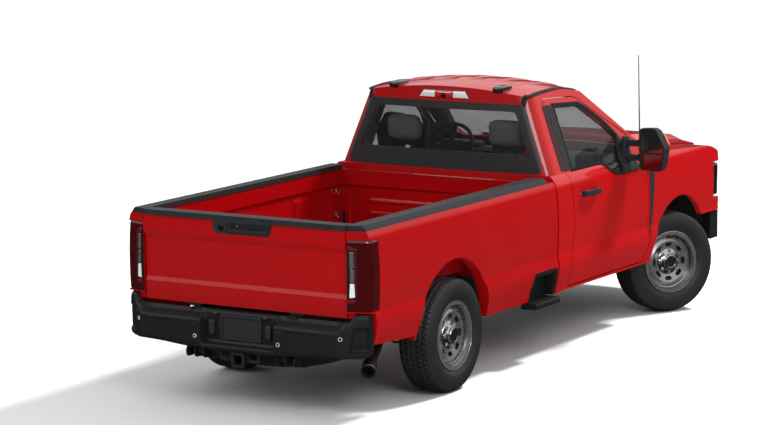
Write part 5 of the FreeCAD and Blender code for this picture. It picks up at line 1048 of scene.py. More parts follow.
def between(corners, rows, columns):
    """Shares of the way across and up between four corners, and the two coordinates there."""
    u = np.linspace(0, 1, rows)[:, None]
    v = np.linspace(0, 1, columns)[None, :]
    a, b, c, d = np.asarray(corners, dtype=float)[:, :, None, None]
    first, second = (a * (1 - u) + b * u) * (1 - v) + (d * (1 - u) + c * u) * v
    return u, v, first, second


def stop_lamp_grid(corners):
    """A patch between four corners, laid on the cab's back where it bows and leans."""
    u, v, x, z = between(corners, 17, 7)
    edge = smooth(0, 0.06, u) * smooth(0, 0.06, 1 - u) * smooth(0, 0.12, v) * smooth(0, 0.12, 1 - v)
    return sheet(x, back_y(x, z) + 0.004 + 0.004 * edge, z)


def back_y(x, z):
    """The cab's back: it leans forward as it rises, and bows as an arc in plan."""
    return BACK_Y - BACK_LEAN * (z - BACK_Z) - (BACK_RADIUS - np.sqrt(BACK_RADIUS ** 2 - x ** 2))


def screen_y(x, z):
    """The windscreen: it slopes back as it rises, and bows as an arc in plan."""
    return SCREEN_Y + SCREEN_SLOPE * (z - SCREEN_Z) + (SCREEN_RADIUS - np.sqrt(SCREEN_RADIUS ** 2 - x ** 2))


def roof_z(x, y):
    """The roof: an arc across the cab turned about an axis far below it."""
    crown = ROOF_TOP - (ROOF_RADIUS - np.sqrt(ROOF_RADIUS ** 2 - x ** 2))
    return ROOF_AXIS_Z + np.sqrt((crown - ROOF_AXIS_Z) ** 2 - (y - ROOF_MIDDLE_Y) ** 2)


def side_x(z):
    """Half width of the body at a height, from the points of its section."""
    section = np.array(SIDE_SECTION)
    return np.interp(z, section[:, 0], section[:, 1])


def tail_lamp_skin():
    """Lens of the left tail lamp: the corner's plan carried up, each height set in from the side
    section, rolled in along its edges and ribbed by a shallow step between its two parts."""
    z = np.linspace(0.763, 1.243, 72)[:, None]
    t = np.linspace(0, 1, 60)[None, :]
    front_y = 2.6875
    side = side_x(z) + 0.0015
    rear_y = 2.843
    corner_x = side - 0.038
    slope_y = rear_y - 0.306 * (corner_x - 0.832)
    first = np.clip(t / 0.55, 0, 1)
    x1 = 0.8335 + (corner_x - 0.8335) * first
    y1 = rear_y - 0.306 * (x1 - 0.832)
    turn = np.clip((t - 0.55) / 0.15, 0, 1)
    bend = turn * math.pi / 2
    x2 = corner_x + (side - corner_x) * np.sin(bend)
    y2 = slope_y - 0.032 * (1 - np.cos(bend)) - 0.306 * 0.038 * np.sin(bend)
    last = np.clip((t - 0.70) / 0.30, 0, 1)
    end_y = slope_y - 0.032 - 0.306 * 0.038
    y3 = end_y + (front_y - end_y) * last
    x = np.where(t <= 0.55, x1, np.where(t <= 0.70, x2, side + 0 * t))
    y = np.where(t <= 0.55, y1, np.where(t <= 0.70, y2, y3))
    lift = smooth(0.763, 0.775, z) * (1 - smooth(1.231, 1.243, z))
    lift = lift * smooth(0, 0.04, t) * (1 - smooth(0.96, 1.0, t))
    step = 0.002 * (smooth(0.30, 0.32, t) - smooth(0.34, 0.36, t))
    grid = sheet(x, y, z)
    normal = normals_of(grid)
    normal *= np.sign(normal[30, 5, 1])
    return plate(grid + normal * (-0.005 * (1 - lift) - step)[..., None], grid - normal * 0.012)


# Roof


class PICKUP_OT_roof(bpy.types.Operator):
    """Roof with its pressed ribs and the black mouldings along both sides"""

    bl_idname = "pickup.roof"
    bl_label = "Roof"

    def execute(self, context):
        y = np.linspace(-0.93, -0.10, 120)[:, None]
        x = np.linspace(-0.60, 0.60, 200)[None, :]
        ribs = np.zeros_like(x * y)
        for centre, half in ((-0.44, 0.050), (-0.22, 0.062), (0.0, 0.062), (0.22, 0.062), (0.44, 0.050)):
            across = 1 - smooth(half - 0.016, half, np.abs(x - centre))
            along = smooth(-0.90, -0.80, y) * (1 - smooth(-0.30, -0.16, y))
            ribs = np.maximum(ribs, across * along)
        edge = smooth(-0.93, -0.91, y) * (1 - smooth(-0.12, -0.10, y)) * (1 - smooth(0.585, 0.600, np.abs(x)))
        z = roof_z(x, y) - 0.0015 + 0.0022 * edge + 0.0070 * ribs
        piece("roof_ribs", [thickened(sheet(x, y, z), (0.0, 0.0, -0.006))], "paint", "paint")
        corner = [(0.672, 0.075, 1.862), (0.686, 0.070, 1.905), (0.694, 0.040, 1.940), (0.697, -0.030, 1.950)]
        run = np.linspace((0.697, -0.060, 1.95), (0.660, -0.880, 1.90), 30)
        path = laid("cab", np.concatenate([through(corner, 8), run]), 0.002)
        strips = mirrored_too([swept(bar_section(0.040, 0.009, 0.6), path, up=(0.25, 0.35, 1.0))])
        piece("roof_mouldings", strips, "rubber", "grained_black")
        return {"FINISHED"}


# Doors and cab sides


def side_plate(corners, proud, thickness):
    """A plate on the body's left side, its four (y, z) corners laid on the side's section."""
    _, _, y, z = between(corners, 13, 13)
    return thickened(sheet(side_x(z) + proud, y, z), (-thickness, 0.0, 0.0))


def side_strip(points, width, height, proud):
    """A bar along (y, z) points laid on the body's left side."""
    y, z = resampled(points, 10 * len(points)).T
    path = sheet(side_x(z) + proud, y, z)
    return swept(bar_section(width, height, 0.5), path, up=(1.0, 0.0, 0.35))


def lofted(outline, levels, plane):
    """An outline carried through levels, each (level, scale) shrinking it to its middle."""
    outline = np.asarray(outline, dtype=float)
    middle = (outline.max(axis=0) + outline.min(axis=0)) / 2
    rows = []
    for level, scale in levels:
        ring = middle + (outline - middle) * scale
        rows.append(sheet(ring[:, 0], ring[:, 1], level))
    return surface(np.array(rows)[..., PLANES[plane]], capped=True)


MIRROR_FACE = -1.070
MIRROR_PATH = [
    (1.076, 1.588, 0.035), (1.214, 1.597, 0.055), (1.300, 1.440, 0.060), (1.274, 1.254, 0.050),
    (1.078, 1.262, 0.035),
]
MIRROR_GLASS = [
    (1.092, 1.574, 0.022), (1.208, 1.581, 0.040), (1.284, 1.440, 0.045), (1.279, 1.402, 0.006),
    (1.094, 1.402, 0.006),
]
MIRROR_SPOT = [(1.094, 1.388, 0.006), (1.277, 1.388, 0.006), (1.261, 1.271, 0.036), (1.094, 1.277, 0.020)]


class PICKUP_OT_mirrors(bpy.types.Operator):
    """Mirrors with their arms, sails, glasses and signals, and the handles, cups and locks of the doors"""

    bl_idname = "pickup.mirrors"
    bl_label = "Mirrors and handles"

    def execute(self, context):
        head_path = rounded_path(MIRROR_PATH, 10)
        levels = [(-1.204, 0.50), (-1.202, 0.66), (-1.194, 0.80), (-1.176, 0.92), (-1.150, 0.975),
                  (-1.110, 1.0),
                  (-1.078, 1.0), (MIRROR_FACE, 0.985), (MIRROR_FACE, 0.945), (MIRROR_FACE - 0.008, 0.935)]
        head = [lofted(head_path, levels, "XZ")]
        brow = [(1.06, -1.17, 1.56), (1.12, -1.205, 1.50), (1.24, -1.203, 1.49)]
        head.append(swept(bar_section(0.006, 0.018), through(brow, 8)))
        glasses = [
            slab(rounded_path(path, 8), "XZ", MIRROR_FACE - 0.010, MIRROR_FACE - 0.003)
            for path in (MIRROR_GLASS, MIRROR_SPOT)
        ]
        arms = []
        for z in (1.352, 1.467):
            path = [
                (0.900, -1.140, z - 0.020), (0.960, -1.136, z - 0.006), (1.030, -1.130, z), (
                    1.100,
                    -1.120,
                    z + 0.004,
                ),
            ]
            arms.append(swept(bar_section(0.030, 0.036, 0.4), through(path, 6)))
            arms.append(pillow((0.975, -1.134, z - 0.004), (0.050, 0.022, 0.027), 0.35))
            arms.append(pillow((1.066, -1.124, z + 0.002), (0.024, 0.024, 0.029), 0.35))
        corners = [(-0.992, 1.247), (-1.262, 1.247), (-1.235, 1.385), (-1.105, 1.535)]
        sail = [side_plate(corners, 0.012, 0.022)]
        sail.append(pillow((0.925, -1.140, 1.405), (0.022, 0.050, 0.110), 0.5))
        z = 1.172
        x = side_x(z)
        middle = -0.3975
        y = np.linspace(-0.515, -0.280, 25)
        bow = 0.010 * (1 - ((y - middle) / 0.1175) ** 2)
        handle = [swept(bar_section(0.020, 0.040, 0.45), sheet(x + 0.034 + bow, y, z + 0.020 * (y - middle)))]
        for y, reach in ((-0.500, 0.018), (-0.300, 0.030)):
            handle.append(pillow((x + 0.018, y, z + 0.020 * (y - middle)), (0.026, reach, 0.021), 0.35))
        dish = [(0.0035, 0.0), (0.0030, 0.020), (0.0012, 0.034), (-0.004, 0.040)]
        cup = [lathe(dish, (x, -0.400, z - 0.012), (1, 0, 0.1), 32)]
        lock = [dome_shape((x + 0.003, -0.262, z - 0.002), (1, 0, 0), 0.008, 0.003)]
        lens = [(1.296, 1.46, 0.006), (1.250, 1.545, 0.006), (1.242, 1.538, 0.006), (1.288, 1.452, 0.006)]
        signals = [slab(rounded_path(lens, 4), "XZ", -1.172, -1.150)]
        parts = (
            ("mirror_head", head + arms + sail, "grained", "grained_black"),
            ("mirror_glass", glasses, "mirror", "pane"),
            ("door_handle", handle, "grained", "grained_black"),
            ("handle_cup", cup, "paint", "paint"),
            ("door_lock", lock, "bright", "steel"),
            ("mirror_signal", signals, "lens_amber", "lens_amber"),
        )
        for name, shapes, key, slot in parts:
            for side, group in both(shapes).items():
                item = piece(name + "_" + side, group, key, slot, "door_" + side)
                if name == "mirror_head":
                    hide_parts("door_trim_" + side)
        return {"FINISHED"}


class PICKUP_OT_windows(bpy.types.Operator):
    """Seals round the door windows, and the trims of the pillars behind them"""

    bl_idname = "pickup.windows"
    bl_label = "Window trim"

    def execute(self, context):
        top = [(-0.262, 1.828), (-0.665, 1.804), (-0.757, 1.766), (-0.967, 1.640), (-1.096, 1.530)]
        belt = [
            (-1.255, 1.252), (-0.990, 1.246), (-0.850, 1.258), (-0.780, 1.300), (-0.720, 1.344),
            (-0.660, 1.355), (-0.235, 1.357),
        ]
        seals = [side_strip(top, 0.038, 0.008, 0.002), side_strip(belt, 0.024, 0.010, 0.004)]
        seals.append(side_strip([(-0.245, 1.36), (-0.278, 1.828)], 0.020, 0.008, 0.002))
        trim = [(-0.240, 1.356), (-0.146, 1.356), (-0.172, 1.838), (-0.272, 1.832)]
        post = [(-0.134, 1.360), (-0.078, 1.360), (-0.108, 1.838), (-0.160, 1.840)]
        for name, shapes, key in (
            ("window_seal", seals, "rubber"),
            ("door_pillar_trim", [side_plate(trim, 0.004, 0.008)], "grained"),
        ):
            for side, group in both(shapes).items():
                piece(name + "_" + side, group, key, "grained_black", "door_" + side)
        for side, group in both([side_plate(post, 0.003, 0.008)]).items():
            piece("cab_pillar_trim_" + side, group, "grained", "grained_black")
        return {"FINISHED"}


# Wheels

WHEEL_NUTS = 8
HUB_PROFILE = [
    # Along the axle outwards from the wheel's middle, then the radius
    (0.060, 0.1040), (0.0665, 0.1045), (0.0705, 0.1010), (0.0725, 0.0950), (0.0780, 0.0800),
    (0.0860, 0.0690), (0.0900, 0.0655), (0.0920, 0.0620), (0.1060, 0.0590), (0.1100, 0.0560),
    (0.1120, 0.0500), (0.1120, 0.0460), (0.1100, 0.0440), (0.1100, 0.0050), (0.1100, 0.0),
]


def hub_cover(matrix, out):
    """Bright cover over a wheel's nuts: a profile turned about the axle, swelling over each nut."""
    profile = resampled(HUB_PROFILE, 64)
    turn = np.linspace(0, 2 * math.pi, 128, endpoint=False)[:, None]
    along, radius = profile[:, 0][None, :], profile[:, 1][None, :]
    from_nut = np.mod(turn * WHEEL_NUTS / (2 * math.pi) + 0.5, 1) - 0.5
    near = np.exp(-((radius - 0.0850) / 0.0085) ** 2) * np.exp(-(from_nut / 0.17) ** 2)
    along = along + 0.014 * near
    grid = sheet(out * along, radius * np.cos(turn), radius * np.sin(turn))
    return moved(surface(grid, close_rows=True, close_columns=False), matrix)


class PICKUP_OT_wheels(bpy.types.Operator):
    """Hub covers, rim edges and valves of the wheels"""

    bl_idname = "pickup.wheels"
    bl_label = "Wheels"

    def execute(self, context):
        lip = [
            (0.104, 0.2400), (0.1095, 0.2440), (0.1135, 0.2475), (0.1125, 0.2510), (0.1080, 0.2500),
            (0.106, 0.2470), (0.104, 0.2400),
        ]
        step = [(0.082, 0.2030), (0.0850, 0.2090), (0.0850, 0.2120), (0.0800, 0.2150)]
        stem = [(0.0, 0.0), (0.0, 0.006), (0.018, 0.0055), (0.022, 0.0042), (0.040, 0.0042), (0.040, 0.0)]
        for wheel, matrix, out in wheels():
            body = "wheel_" + wheel
            piece("hub_cover_" + wheel, [hub_cover(matrix, out)], "bright", "steel", body)
            edges = []
            for profile in (lip, step):
                edge = lathe([(out * along, radius) for along, radius in profile], (0, 0, 0), (1, 0, 0), 96)
                edges.append(moved(edge, matrix))
            piece("rim_edge_" + wheel, edges, "bright", "wheel_steel", body)
            valve = lathe(stem, (out * 0.070, 0.0, 0.205), (out, 0.0, -0.35), 16)
            piece("valve_" + wheel, [moved(valve, matrix)], "rubber", "tyre_rubber", body)
        return {"FINISHED"}


# Front end


def nose(x, depth):
    """How far forward the nose stands at a half width: it sweeps back as the square."""
    return -2.900 + 0.185 * np.square(x) + depth


def bumper_face(x):
    """How far forward the front bumper stands at a half width."""
    return -2.944 + 0.205 * np.square(x / 0.985)


def nose_rings(outline, rings):
    """Copies of an (x, z) outline shrunk to its middle, each laid behind the nose by a depth."""
    outline = np.asarray(outline, dtype=float)
    middle = (outline.max(axis=0) + outline.min(axis=0)) / 2
    rows = []
    for depth, inset in rings:
        reach = np.maximum(np.abs(outline - middle).max(axis=0), 1e-6)
        ring = middle + (outline - middle) * (1 - inset / reach)
        rows.append(sheet(ring[:, 0], nose(ring[:, 0], depth), ring[:, 1]))
    return surface(np.array(rows), capped=True)


def nose_bar(points, width, height, depth, steps):
    """A rounded bar along (x, z) points, laid behind the nose by a depth."""
    line = through(points, steps)
    path = sheet(line[:, 0], nose(line[:, 0], depth), line[:, 1])
    return swept(bar_section(width, height, 0.5), path, up=(0.0, -1.0, 0.05))


HEADLAMP = [(0.630, 0.850, 0.020), (0.990, 0.856, 0.020), (0.994, 1.124, 0.030), (0.630, 1.130, 0.020)]


class PICKUP_OT_front(bpy.types.Operator):
    """Headlamps, grille mesh, radiator, fog lamps, tow hooks, wipers, cowl tray and antenna"""

    bl_idname = "pickup.front"
    bl_label = "Front end"

    def execute(self, context):
        outline = rounded_path(HEADLAMP, 8)
        tray = [nose_rings(outline, [(0.092, 0.002), (0.004, 0.002), (0.003, 0.010), (0.056, 0.018)])]
        cover = [nose_rings(outline, [(0.012, 0.011), (0.005, 0.011), (0.0035, 0.013)])]
        guide = [
            (0.665, 1.098), (0.800, 1.100), (0.930, 1.096), (0.962, 1.070), (0.966, 0.990), (0.962, 0.905),
            (0.930, 0.882), (0.800, 0.880), (0.665, 0.880),
        ]
        guides = [nose_bar(guide, 0.014, 0.020, 0.030, 6)]
        bowls, eyes = [], []
        bowl = [(0.020, 0.056), (0.024, 0.052), (0.010, 0.044), (-0.012, 0.030), (-0.020, 0.0)]
        for x in (0.735, 0.860):
            face = (x, nose(x, 0.040), 0.990)
            facing = (0.18, -1.0, 0.0)
            bowls.append(lathe(bowl, face, facing, 40))
            bowls.append(ring_shape(face, facing, 0.056, 0.004))
            eyes.append(dome_shape(face, facing, 0.028, 0.018))
        amber = [pillow((0.968, nose(0.968, 0.052), 0.930), (0.010, 0.020, 0.030), 0.4)]
        under = [(0.628, 0.738, 0.012), (0.978, 0.738, 0.020), (0.988, 0.846, 0.006), (0.628, 0.842, 0.006)]
        panel = [nose_rings(rounded_path(under), [(0.110, 0.0), (0.006, 0.0), (0.003, 0.004)])]
        parts = (
            ("lamp_panel", panel, "paint", "paint"),
            ("headlamp_housing", tray, "gloss_black", "gloss_black"),
            ("headlamp_cover", cover, "headlamp_cover", "lens_clear"),
            ("headlamp_guide", guides, "lens_white", "lens_clear"),
            ("headlamp_bowls", bowls, "reflector", "lens_clear"),
            ("headlamp_eyes", eyes, "mirror", "lens_clear"),
            ("side_marker", amber, "lens_amber", "lens_amber"),
        )
        for name, shapes, key, slot in parts:
            item = piece(name, mirrored_too(shapes), key, slot)
            if name == "headlamp_housing":
                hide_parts("headlamps")
        mesh_bars = []
        for x in np.linspace(-0.57, 0.57, 39):
            upright = [(x - 1e-4, 0.775), (x, 0.960), (x + 1e-4, 1.180)]
            mesh_bars.append(nose_bar(upright, 0.006, 0.012, 0.062, 2))
        for z in np.linspace(0.79, 1.17, 13):
            mesh_bars.append(nose_bar([(-0.585, z), (0.0, z), (0.585, z)], 0.012, 0.005, 0.060, 10))
        piece("grille_mesh", mesh_bars, "textured_black", "grained_black")
        x = np.linspace(-0.60, 0.60, 241)[:, None]
        z = np.linspace(0.760, 1.190, 5)[None, :]
        core = sheet(x, nose(x, 0.088) + 0.003 * np.sin(x * 420), z)
        piece("radiator", [thickened(core, (0.0, 0.020, 0.0))], "chassis", "frame_black")
        lower = []
        for z in (0.476, 0.498, 0.520, 0.540):
            x = np.linspace(-0.415, 0.415, 25)
            lower.append(swept(bar_section(0.022, 0.008, 0.5), sheet(x, bumper_face(x) + 0.045, z)))
        x = np.linspace(-0.60, 0.60, 25)[:, None]
        z = np.linspace(0.440, 0.700, 9)[None, :]
        lower.append(thickened(sheet(x, bumper_face(x) + 0.075, z), (0.0, 0.008, 0.0)))
        fogs = []
        for side in (1, -1):
            x = side * 0.780
            face = (x, bumper_face(x) - 0.004, 0.600)
            facing = (side * 0.33, -1.0, 0.0)
            lower.append(ring_shape(face, facing, 0.050, 0.007))
            fogs.append(dome_shape(face, facing, 0.044, 0.006))
        piece("front_bumper_mesh", lower, "textured_black", "grained_black")
        piece("fog_lamps", fogs, "reflector", "lens_clear")
        bend = [
            (0.365, -2.84, 0.475), (0.365, -2.910, 0.470), (0.385, -2.929, 0.462), (0.410, -2.929, 0.462),
            (0.430, -2.910, 0.470), (0.430, -2.84, 0.475),
        ]
        hooks = mirrored_too([swept(disc_section(0.009), through(bend, 8))])
        piece("tow_hooks", hooks, "iron", "frame_black")
        wipers = []
        for start, end, arm in ((-0.62, -0.02, -0.06), (0.02, 0.60, 0.56)):
            x = np.linspace(start, end, 25)
            z = 1.372 + 0.030 * (x - start)
            path = sheet(x, screen_y(x, z) - 0.009, z + 0.013)
            wipers.append(swept(bar_section(0.009, 0.011, 0.5), path, up=(0.0, -0.54, 0.84)))
            middle = (start + end) / 2
            tip = (middle, screen_y(middle, 1.380) - 0.014, 1.402)
            line = [(arm, -1.728, 1.314), (arm - 0.03, -1.706, 1.338), tip]
            wipers.append(swept(bar_section(0.012, 0.006, 0.5), through(line, 8)))
            wipers.append(dome_shape((arm, -1.728, 1.310), (0, -0.2, 1), 0.013, 0.009))
        piece("wipers", wipers, "rubber", "grained_black")
        x = np.linspace(-0.725, 0.725, 121)[:, None]
        y = np.linspace(-1.880, -1.640, 13)[None, :]
        slots = 0.004 * smooth(0.2, 0.6, np.sin(x * 130)) * (np.abs(x) > 0.1)
        tray = sheet(x, y, 1.205 + slots + 0.25 * np.maximum(y + 1.75, 0))
        piece("cowl_tray", [thickened(tray, (0.0, 0.0, -0.008))], "grained", "grained_black")
        whip = [
            (0.0, 0.0), (0.0, 0.018), (0.010, 0.017), (0.034, 0.008), (0.060, 0.0055), (0.760, 0.0030),
            (0.770, 0.0),
        ]
        whip = lathe(whip, (-0.768, -1.715, 1.314), (0.0, 0.030, 0.776), 16)
        piece("antenna", [whip], "rubber", "grained_black")
        return {"FINISHED"}


# Load bed

TAILGATE_HANDLE = [
    # Of the recess, its rim and the grip: x of the lower right and left corners and of the upper
    # right one, the two heights, and the radii on the right and on the left
    (-0.205, 0.120, -0.220, 1.236, 1.290, 0.012, 0.010),
    (-0.214, 0.129, -0.230, 1.228, 1.298, 0.014, 0.012),
    (-0.190, 0.105, -0.200, 1.262, 1.286, 0.008, 0.008),
]


class PICKUP_OT_bed(bpy.types.Operator):
    """Pressings of the load bed, its tie-downs, its holes as black discs of painted shade, the fuel door's
    seam, and the tailgate's lining, handle, camera and lock"""

    bl_idname = "pickup.bed"
    bl_label = "Load bed"

    def execute(self, context):
        x = np.linspace(-0.632, 0.632, 200)[:, None]
        y = np.linspace(0.250, 2.720, 60)[None, :]
        ridge = smooth(-0.2, 0.5, np.cos(x / 0.1150 * 2 * math.pi))
        ridge = ridge * smooth(0.29, 0.33, y) * (1 - smooth(2.66, 2.70, y))
        shapes = [thickened(sheet(x, y, 0.8015 + 0.012 * ridge), (0.0, 0.0, -0.004))]
        x = np.linspace(-0.826, 0.826, 150)[:, None]
        z = np.linspace(0.806, 1.300, 110)[None, :]
        ledge = 0.020 * smooth(1.178, 1.196, z)
        press = np.zeros_like(x * z)
        for low, high in ((0.868, 0.905), (0.965, 1.002), (1.062, 1.099)):
            band = smooth(low, low + 0.010, z) * (1 - smooth(high - 0.010, high, z))
            press = np.maximum(press, band * (1 - smooth(0.560, 0.580, np.abs(x))))
        post = smooth(0.735, 0.750, np.abs(x)) * (1 - smooth(1.10, 1.17, z))
        wall = sheet(x, 0.2365 + ledge + 0.009 * press + 0.010 * post, z)
        shapes.append(thickened(wall, (0.0, -0.004, 0.0)))
        y = np.linspace(0.245, 2.724, 160)[:, None]
        z = np.linspace(0.806, 1.300, 90)[None, :]
        ledge = 0.016 * smooth(1.176, 1.194, z)
        posts = np.zeros_like(y * z)
        for low, high in ((0.245, 0.400), (0.800, 0.900), (2.310, 2.400), (2.600, 2.740)):
            post = smooth(low - 0.012, low, y) * (1 - smooth(high, high + 0.012, y))
            posts = np.maximum(posts, post * (1 - smooth(1.12, 1.17, z)))
        side = sheet(0.8285 - ledge - 0.011 * posts, y, z)
        shapes += mirrored_too([thickened(side, (0.004, 0.0, 0.0))])
        piece("bed_pressings", shapes, "bed_paint", "bed_paint")
        ties, holes = [], []
        for y, z in ((0.330, 0.960), (2.655, 0.960), (0.330, 1.140), (2.655, 1.140)):
            ties.append(ring_shape((0.806, y, z), (1.0, 0.0, 0.25), 0.019, 0.0045))
            ties.append(pillow((0.815, y, z + 0.019), (0.008, 0.016, 0.010), 0.4))
        # Each hole is a flat black disc, and the front wall's slot is a black pad: painted shade where the
        # holes open into the wall
        for y, z in ((0.560, 1.030), (0.690, 1.030), (0.560, 1.130), (0.690, 1.130), (0.300, 1.245)):
            holes.append(dome_shape((0.828 if z < 1.2 else 0.812, y, z), (-1, 0, 0), 0.008, 0.0012))
        holes.append(pillow((0.792, 0.249, 0.935), (0.014, 0.003, 0.052), 0.4))
        turn = np.linspace(0, 2 * math.pi, 49)
        y, z = (np.sign(wave) * np.sqrt(np.abs(wave)) for wave in (np.cos(turn), np.sin(turn)))
        ring = sheet(1.10, 0.640 + 0.090 * y, 1.060 + 0.078 * z)
        seam = swept(bar_section(0.005, 0.004, 0.5), laid("box", ring, 0.0005), up=(1.0, 0.0, 0.05))
        piece("fuel_door_seam", [seam], "rubber", "grained_black")
        for name, group, key, slot in (("tie_downs", ties, "nut", "steel"),
                                       ("bed_hole_shades", holes, "rubber", "grained_black")):
            piece(name, mirrored_too(group), key, slot)
        handle, rim, grip = (
            rounded_path([(a, low, right), (b, low, left), (b, high, left), (c, high, right)])
            for a, b, c, low, high, right, left in TAILGATE_HANDLE
        )
        well = [frame_shape(rim, handle, "XZ", 2.8505, 2.8560)]
        well.append(slab(grip, "XZ", 2.8505, 2.8590))
        well.append(ring_shape((0.168, 2.8535, 1.262), (0, 1, 0), 0.022, 0.0045))
        x = np.linspace(-0.765, 0.765, 205)[:, None]
        z = np.linspace(0.775, 1.195, 85)[None, :]
        rim = smooth(0.0, 0.020, 0.765 - np.abs(x)) * smooth(0.775, 0.795, z) * smooth(1.195, 1.175, z)
        wells = np.zeros_like(x * z)
        for middle in (-0.50, 0.0, 0.50):
            inside = 1 - smooth(0.185, 0.205, np.abs(x - middle))
            wells = np.maximum(wells, inside * smooth(0.835, 0.855, z) * smooth(1.135, 1.115, z))
        face = thickened(sheet(x, 2.7452 - 0.0055 * rim + 0.0050 * wells, z), (0.0, 0.004, 0.0))
        piece("tailgate_lining", [face], "bed_paint", "bed_paint", "tailgate")
        softened(piece("tailgate_handle", well, "textured_black", "grained_black", "tailgate"), 0.0015)
        back = (0, 1, 0)
        eye = [dome_shape((0.168, 2.8545, 1.262), back, 0.017, 0.004), slab(handle, "XZ", 2.8500, 2.8525)]
        piece("tailgate_camera", eye, "gloss_black", "gloss_black", "tailgate")
        lock = [dome_shape((0.030, 2.8590, 1.274), back, 0.008, 0.002)]
        piece("tailgate_lock", lock, "bright", "steel", "tailgate")
        return {"FINISHED"}


# Under the body

U_BOLT = [(0.517, 0.500), (0.517, 0.36), (0.603, 0.36), (0.603, 0.500)]
BRAKE_LINE = [(0.40, -1.2, 0.60), (0.40, 0.2, 0.60), (0.40, 1.2, 0.62), (0.30, 1.50, 0.56)]


def tube(points, radius):
    """A round tube along a smooth line through points."""
    return swept(disc_section(radius, 14), through(points, 8))


class PICKUP_OT_chassis(bpy.types.Operator):
    """Hitch brackets with their chain loops, the exhaust's bore and edge (the bore soot-black, its closed end
    painted shade), springs and brake lines
    """

    bl_idname = "pickup.chassis"
    bl_label = "Under the body"

    def execute(self, context):
        shapes = []
        bracket = rounded_path([
            (2.660, 0.350, 0.010), (2.890, 0.345, 0.030), (2.900, 0.395, 0.020), (2.850, 0.470, 0.020),
            (2.660, 0.480, 0.010),
        ])
        for side in (1, -1):
            for x in (0.300, 0.372, 0.440):
                shapes.append(slab(bracket, "YZ", side * x - 0.005, side * x + 0.005))
            shapes.append(pillow((side * 0.336, 2.840, 0.408), (0.032, 0.040, 0.034), 0.25))
            outer = rectangle((side * 0.055, 0.350), (side * 0.165, 0.445), (0.018, 0.030, 0.030, 0.018), 8)
            inner = rectangle((side * 0.078, 0.372), (side * 0.146, 0.412), (0.014, 0.018, 0.018, 0.014), 8)
            shapes.append(frame_shape(outer, inner, "XZ", 2.886, 2.898))
        outer = rectangle((-0.052, 0.314), (0.052, 0.418), 0.008)
        inner = rectangle((-0.0325, 0.3335), (0.0325, 0.3985), 0.003)
        shapes.append(frame_shape(outer, inner, "XZ", 2.902, 2.926))
        shapes.append(tube([(-0.30, 2.80, 0.395), (0.0, 2.80, 0.395), (0.30, 2.80, 0.395)], 0.030))
        shapes.append(pillow((0.0, 2.885, 0.428), (0.060, 0.020, 0.014), 0.3))
        piece("hitch_brackets", shapes, "chassis", "frame_black")
        tip = np.array([-0.930, 2.734, 0.345])
        ahead = (-0.10, 0.20, -0.030)
        # The bore's wall is black as soot is; the disc that closes it 96 mm in is painted shade where the
        # open pipe would run on into darkness
        wall = [
            (-0.096, 0.0), (-0.096, 0.0372), (-0.010, 0.0372), (-0.0100, 0.0376), (-0.0975, 0.0376),
            (-0.0975, 0.0),
        ]
        bore = lathe(wall, tip, ahead, 40)
        piece("exhaust_soot_and_shade", [bore], "chassis", "frame_black")
        edge = lathe(disc_section(0.0030, 10) + np.array([-0.001, 0.0478]), tip, ahead, 40)
        piece("exhaust_edge", [edge], "bright", "steel")
        springs, lines = [], []
        for side in (1, -1):
            for leaf in range(5):
                reach = 0.70 - 0.10 * leaf
                y = np.linspace(-reach, reach, 31)
                z = 0.455 + 0.10 * (y / 0.70) ** 2 - 0.011 * leaf
                springs.append(swept(bar_section(0.070, 0.009), sheet(side * 0.560, 1.665 + y, z)))
            for y in (1.575, 1.755):
                bolt = [(side * x, y, z) for x, z in U_BOLT]
                springs.append(swept(disc_section(0.008, 10), through(bolt, 8)))
            lines.append(tube([(side * x, y, z) for x, y, z in BRAKE_LINE], 0.004))
        piece("leaf_springs", springs, "chassis", "frame_black")
        piece("brake_lines", lines, "nut", "steel")
        return {"FINISHED"}


# Inside the cab


CLOTH_FRAMES = 20
CLOTH_PRESSURE = 4.0
CLOTH_CAP = 0.008
CUSHION_VOXEL = 0.013
# How far out the doors' inner faces are, then lines on them by how far they stand out from there
DOOR_CARD_X = 0.890
ARMREST = [
    (0.0, -1.130, 0.925), (0.018, -1.050, 0.935), (0.024, -0.750, 0.945), (0.024, -0.330, 0.945),
    (0.0, -0.250, 0.935),
]
DOOR_PULL = [(0.0, -1.150), (0.026, -1.120), (0.026, -1.020), (0.0, -0.990)]


def swollen(item):
    """Puffs a closed piece up as a stuffed cover: an even remesh, then pressure inside a cloth
    with no gravity, no point of which moves further than the cap. Returns the moved points."""
    scene = bpy.context.scene
    remesh = item.modifiers.new("even", "REMESH")
    remesh.mode = "VOXEL"
    remesh.voxel_size = CUSHION_VOXEL
    item.data = bpy.data.meshes.new_from_object(item.evaluated_get(bpy.context.evaluated_depsgraph_get()))
    item.modifiers.clear()
    count = len(item.data.vertices)
    before = np.empty(count * 3)
    item.data.vertices.foreach_get("co", before)
    cloth = item.modifiers.new("cover", "CLOTH")
    cloth.settings.use_pressure = True
    cloth.settings.uniform_pressure_force = CLOTH_PRESSURE
    cloth.settings.effector_weights.gravity = 0.0
    cloth.point_cache.frame_start = 1
    cloth.point_cache.frame_end = CLOTH_FRAMES
    for step in range(1, CLOTH_FRAMES + 1):
        scene.frame_set(step)
    puffed = item.evaluated_get(bpy.context.evaluated_depsgraph_get())
    after = np.empty(count * 3)
    puffed.data.vertices.foreach_get("co", after)
    item.modifiers.clear()
    scene.frame_set(1)
    move = (after - before).reshape(-1, 3)
    reach = np.maximum(np.linalg.norm(move, axis=1, keepdims=True), 1e-9)
    before = (before.reshape(-1, 3) + move * np.minimum(1.0, CLOTH_CAP / reach)).ravel()
    return before.reshape(-1, 3)


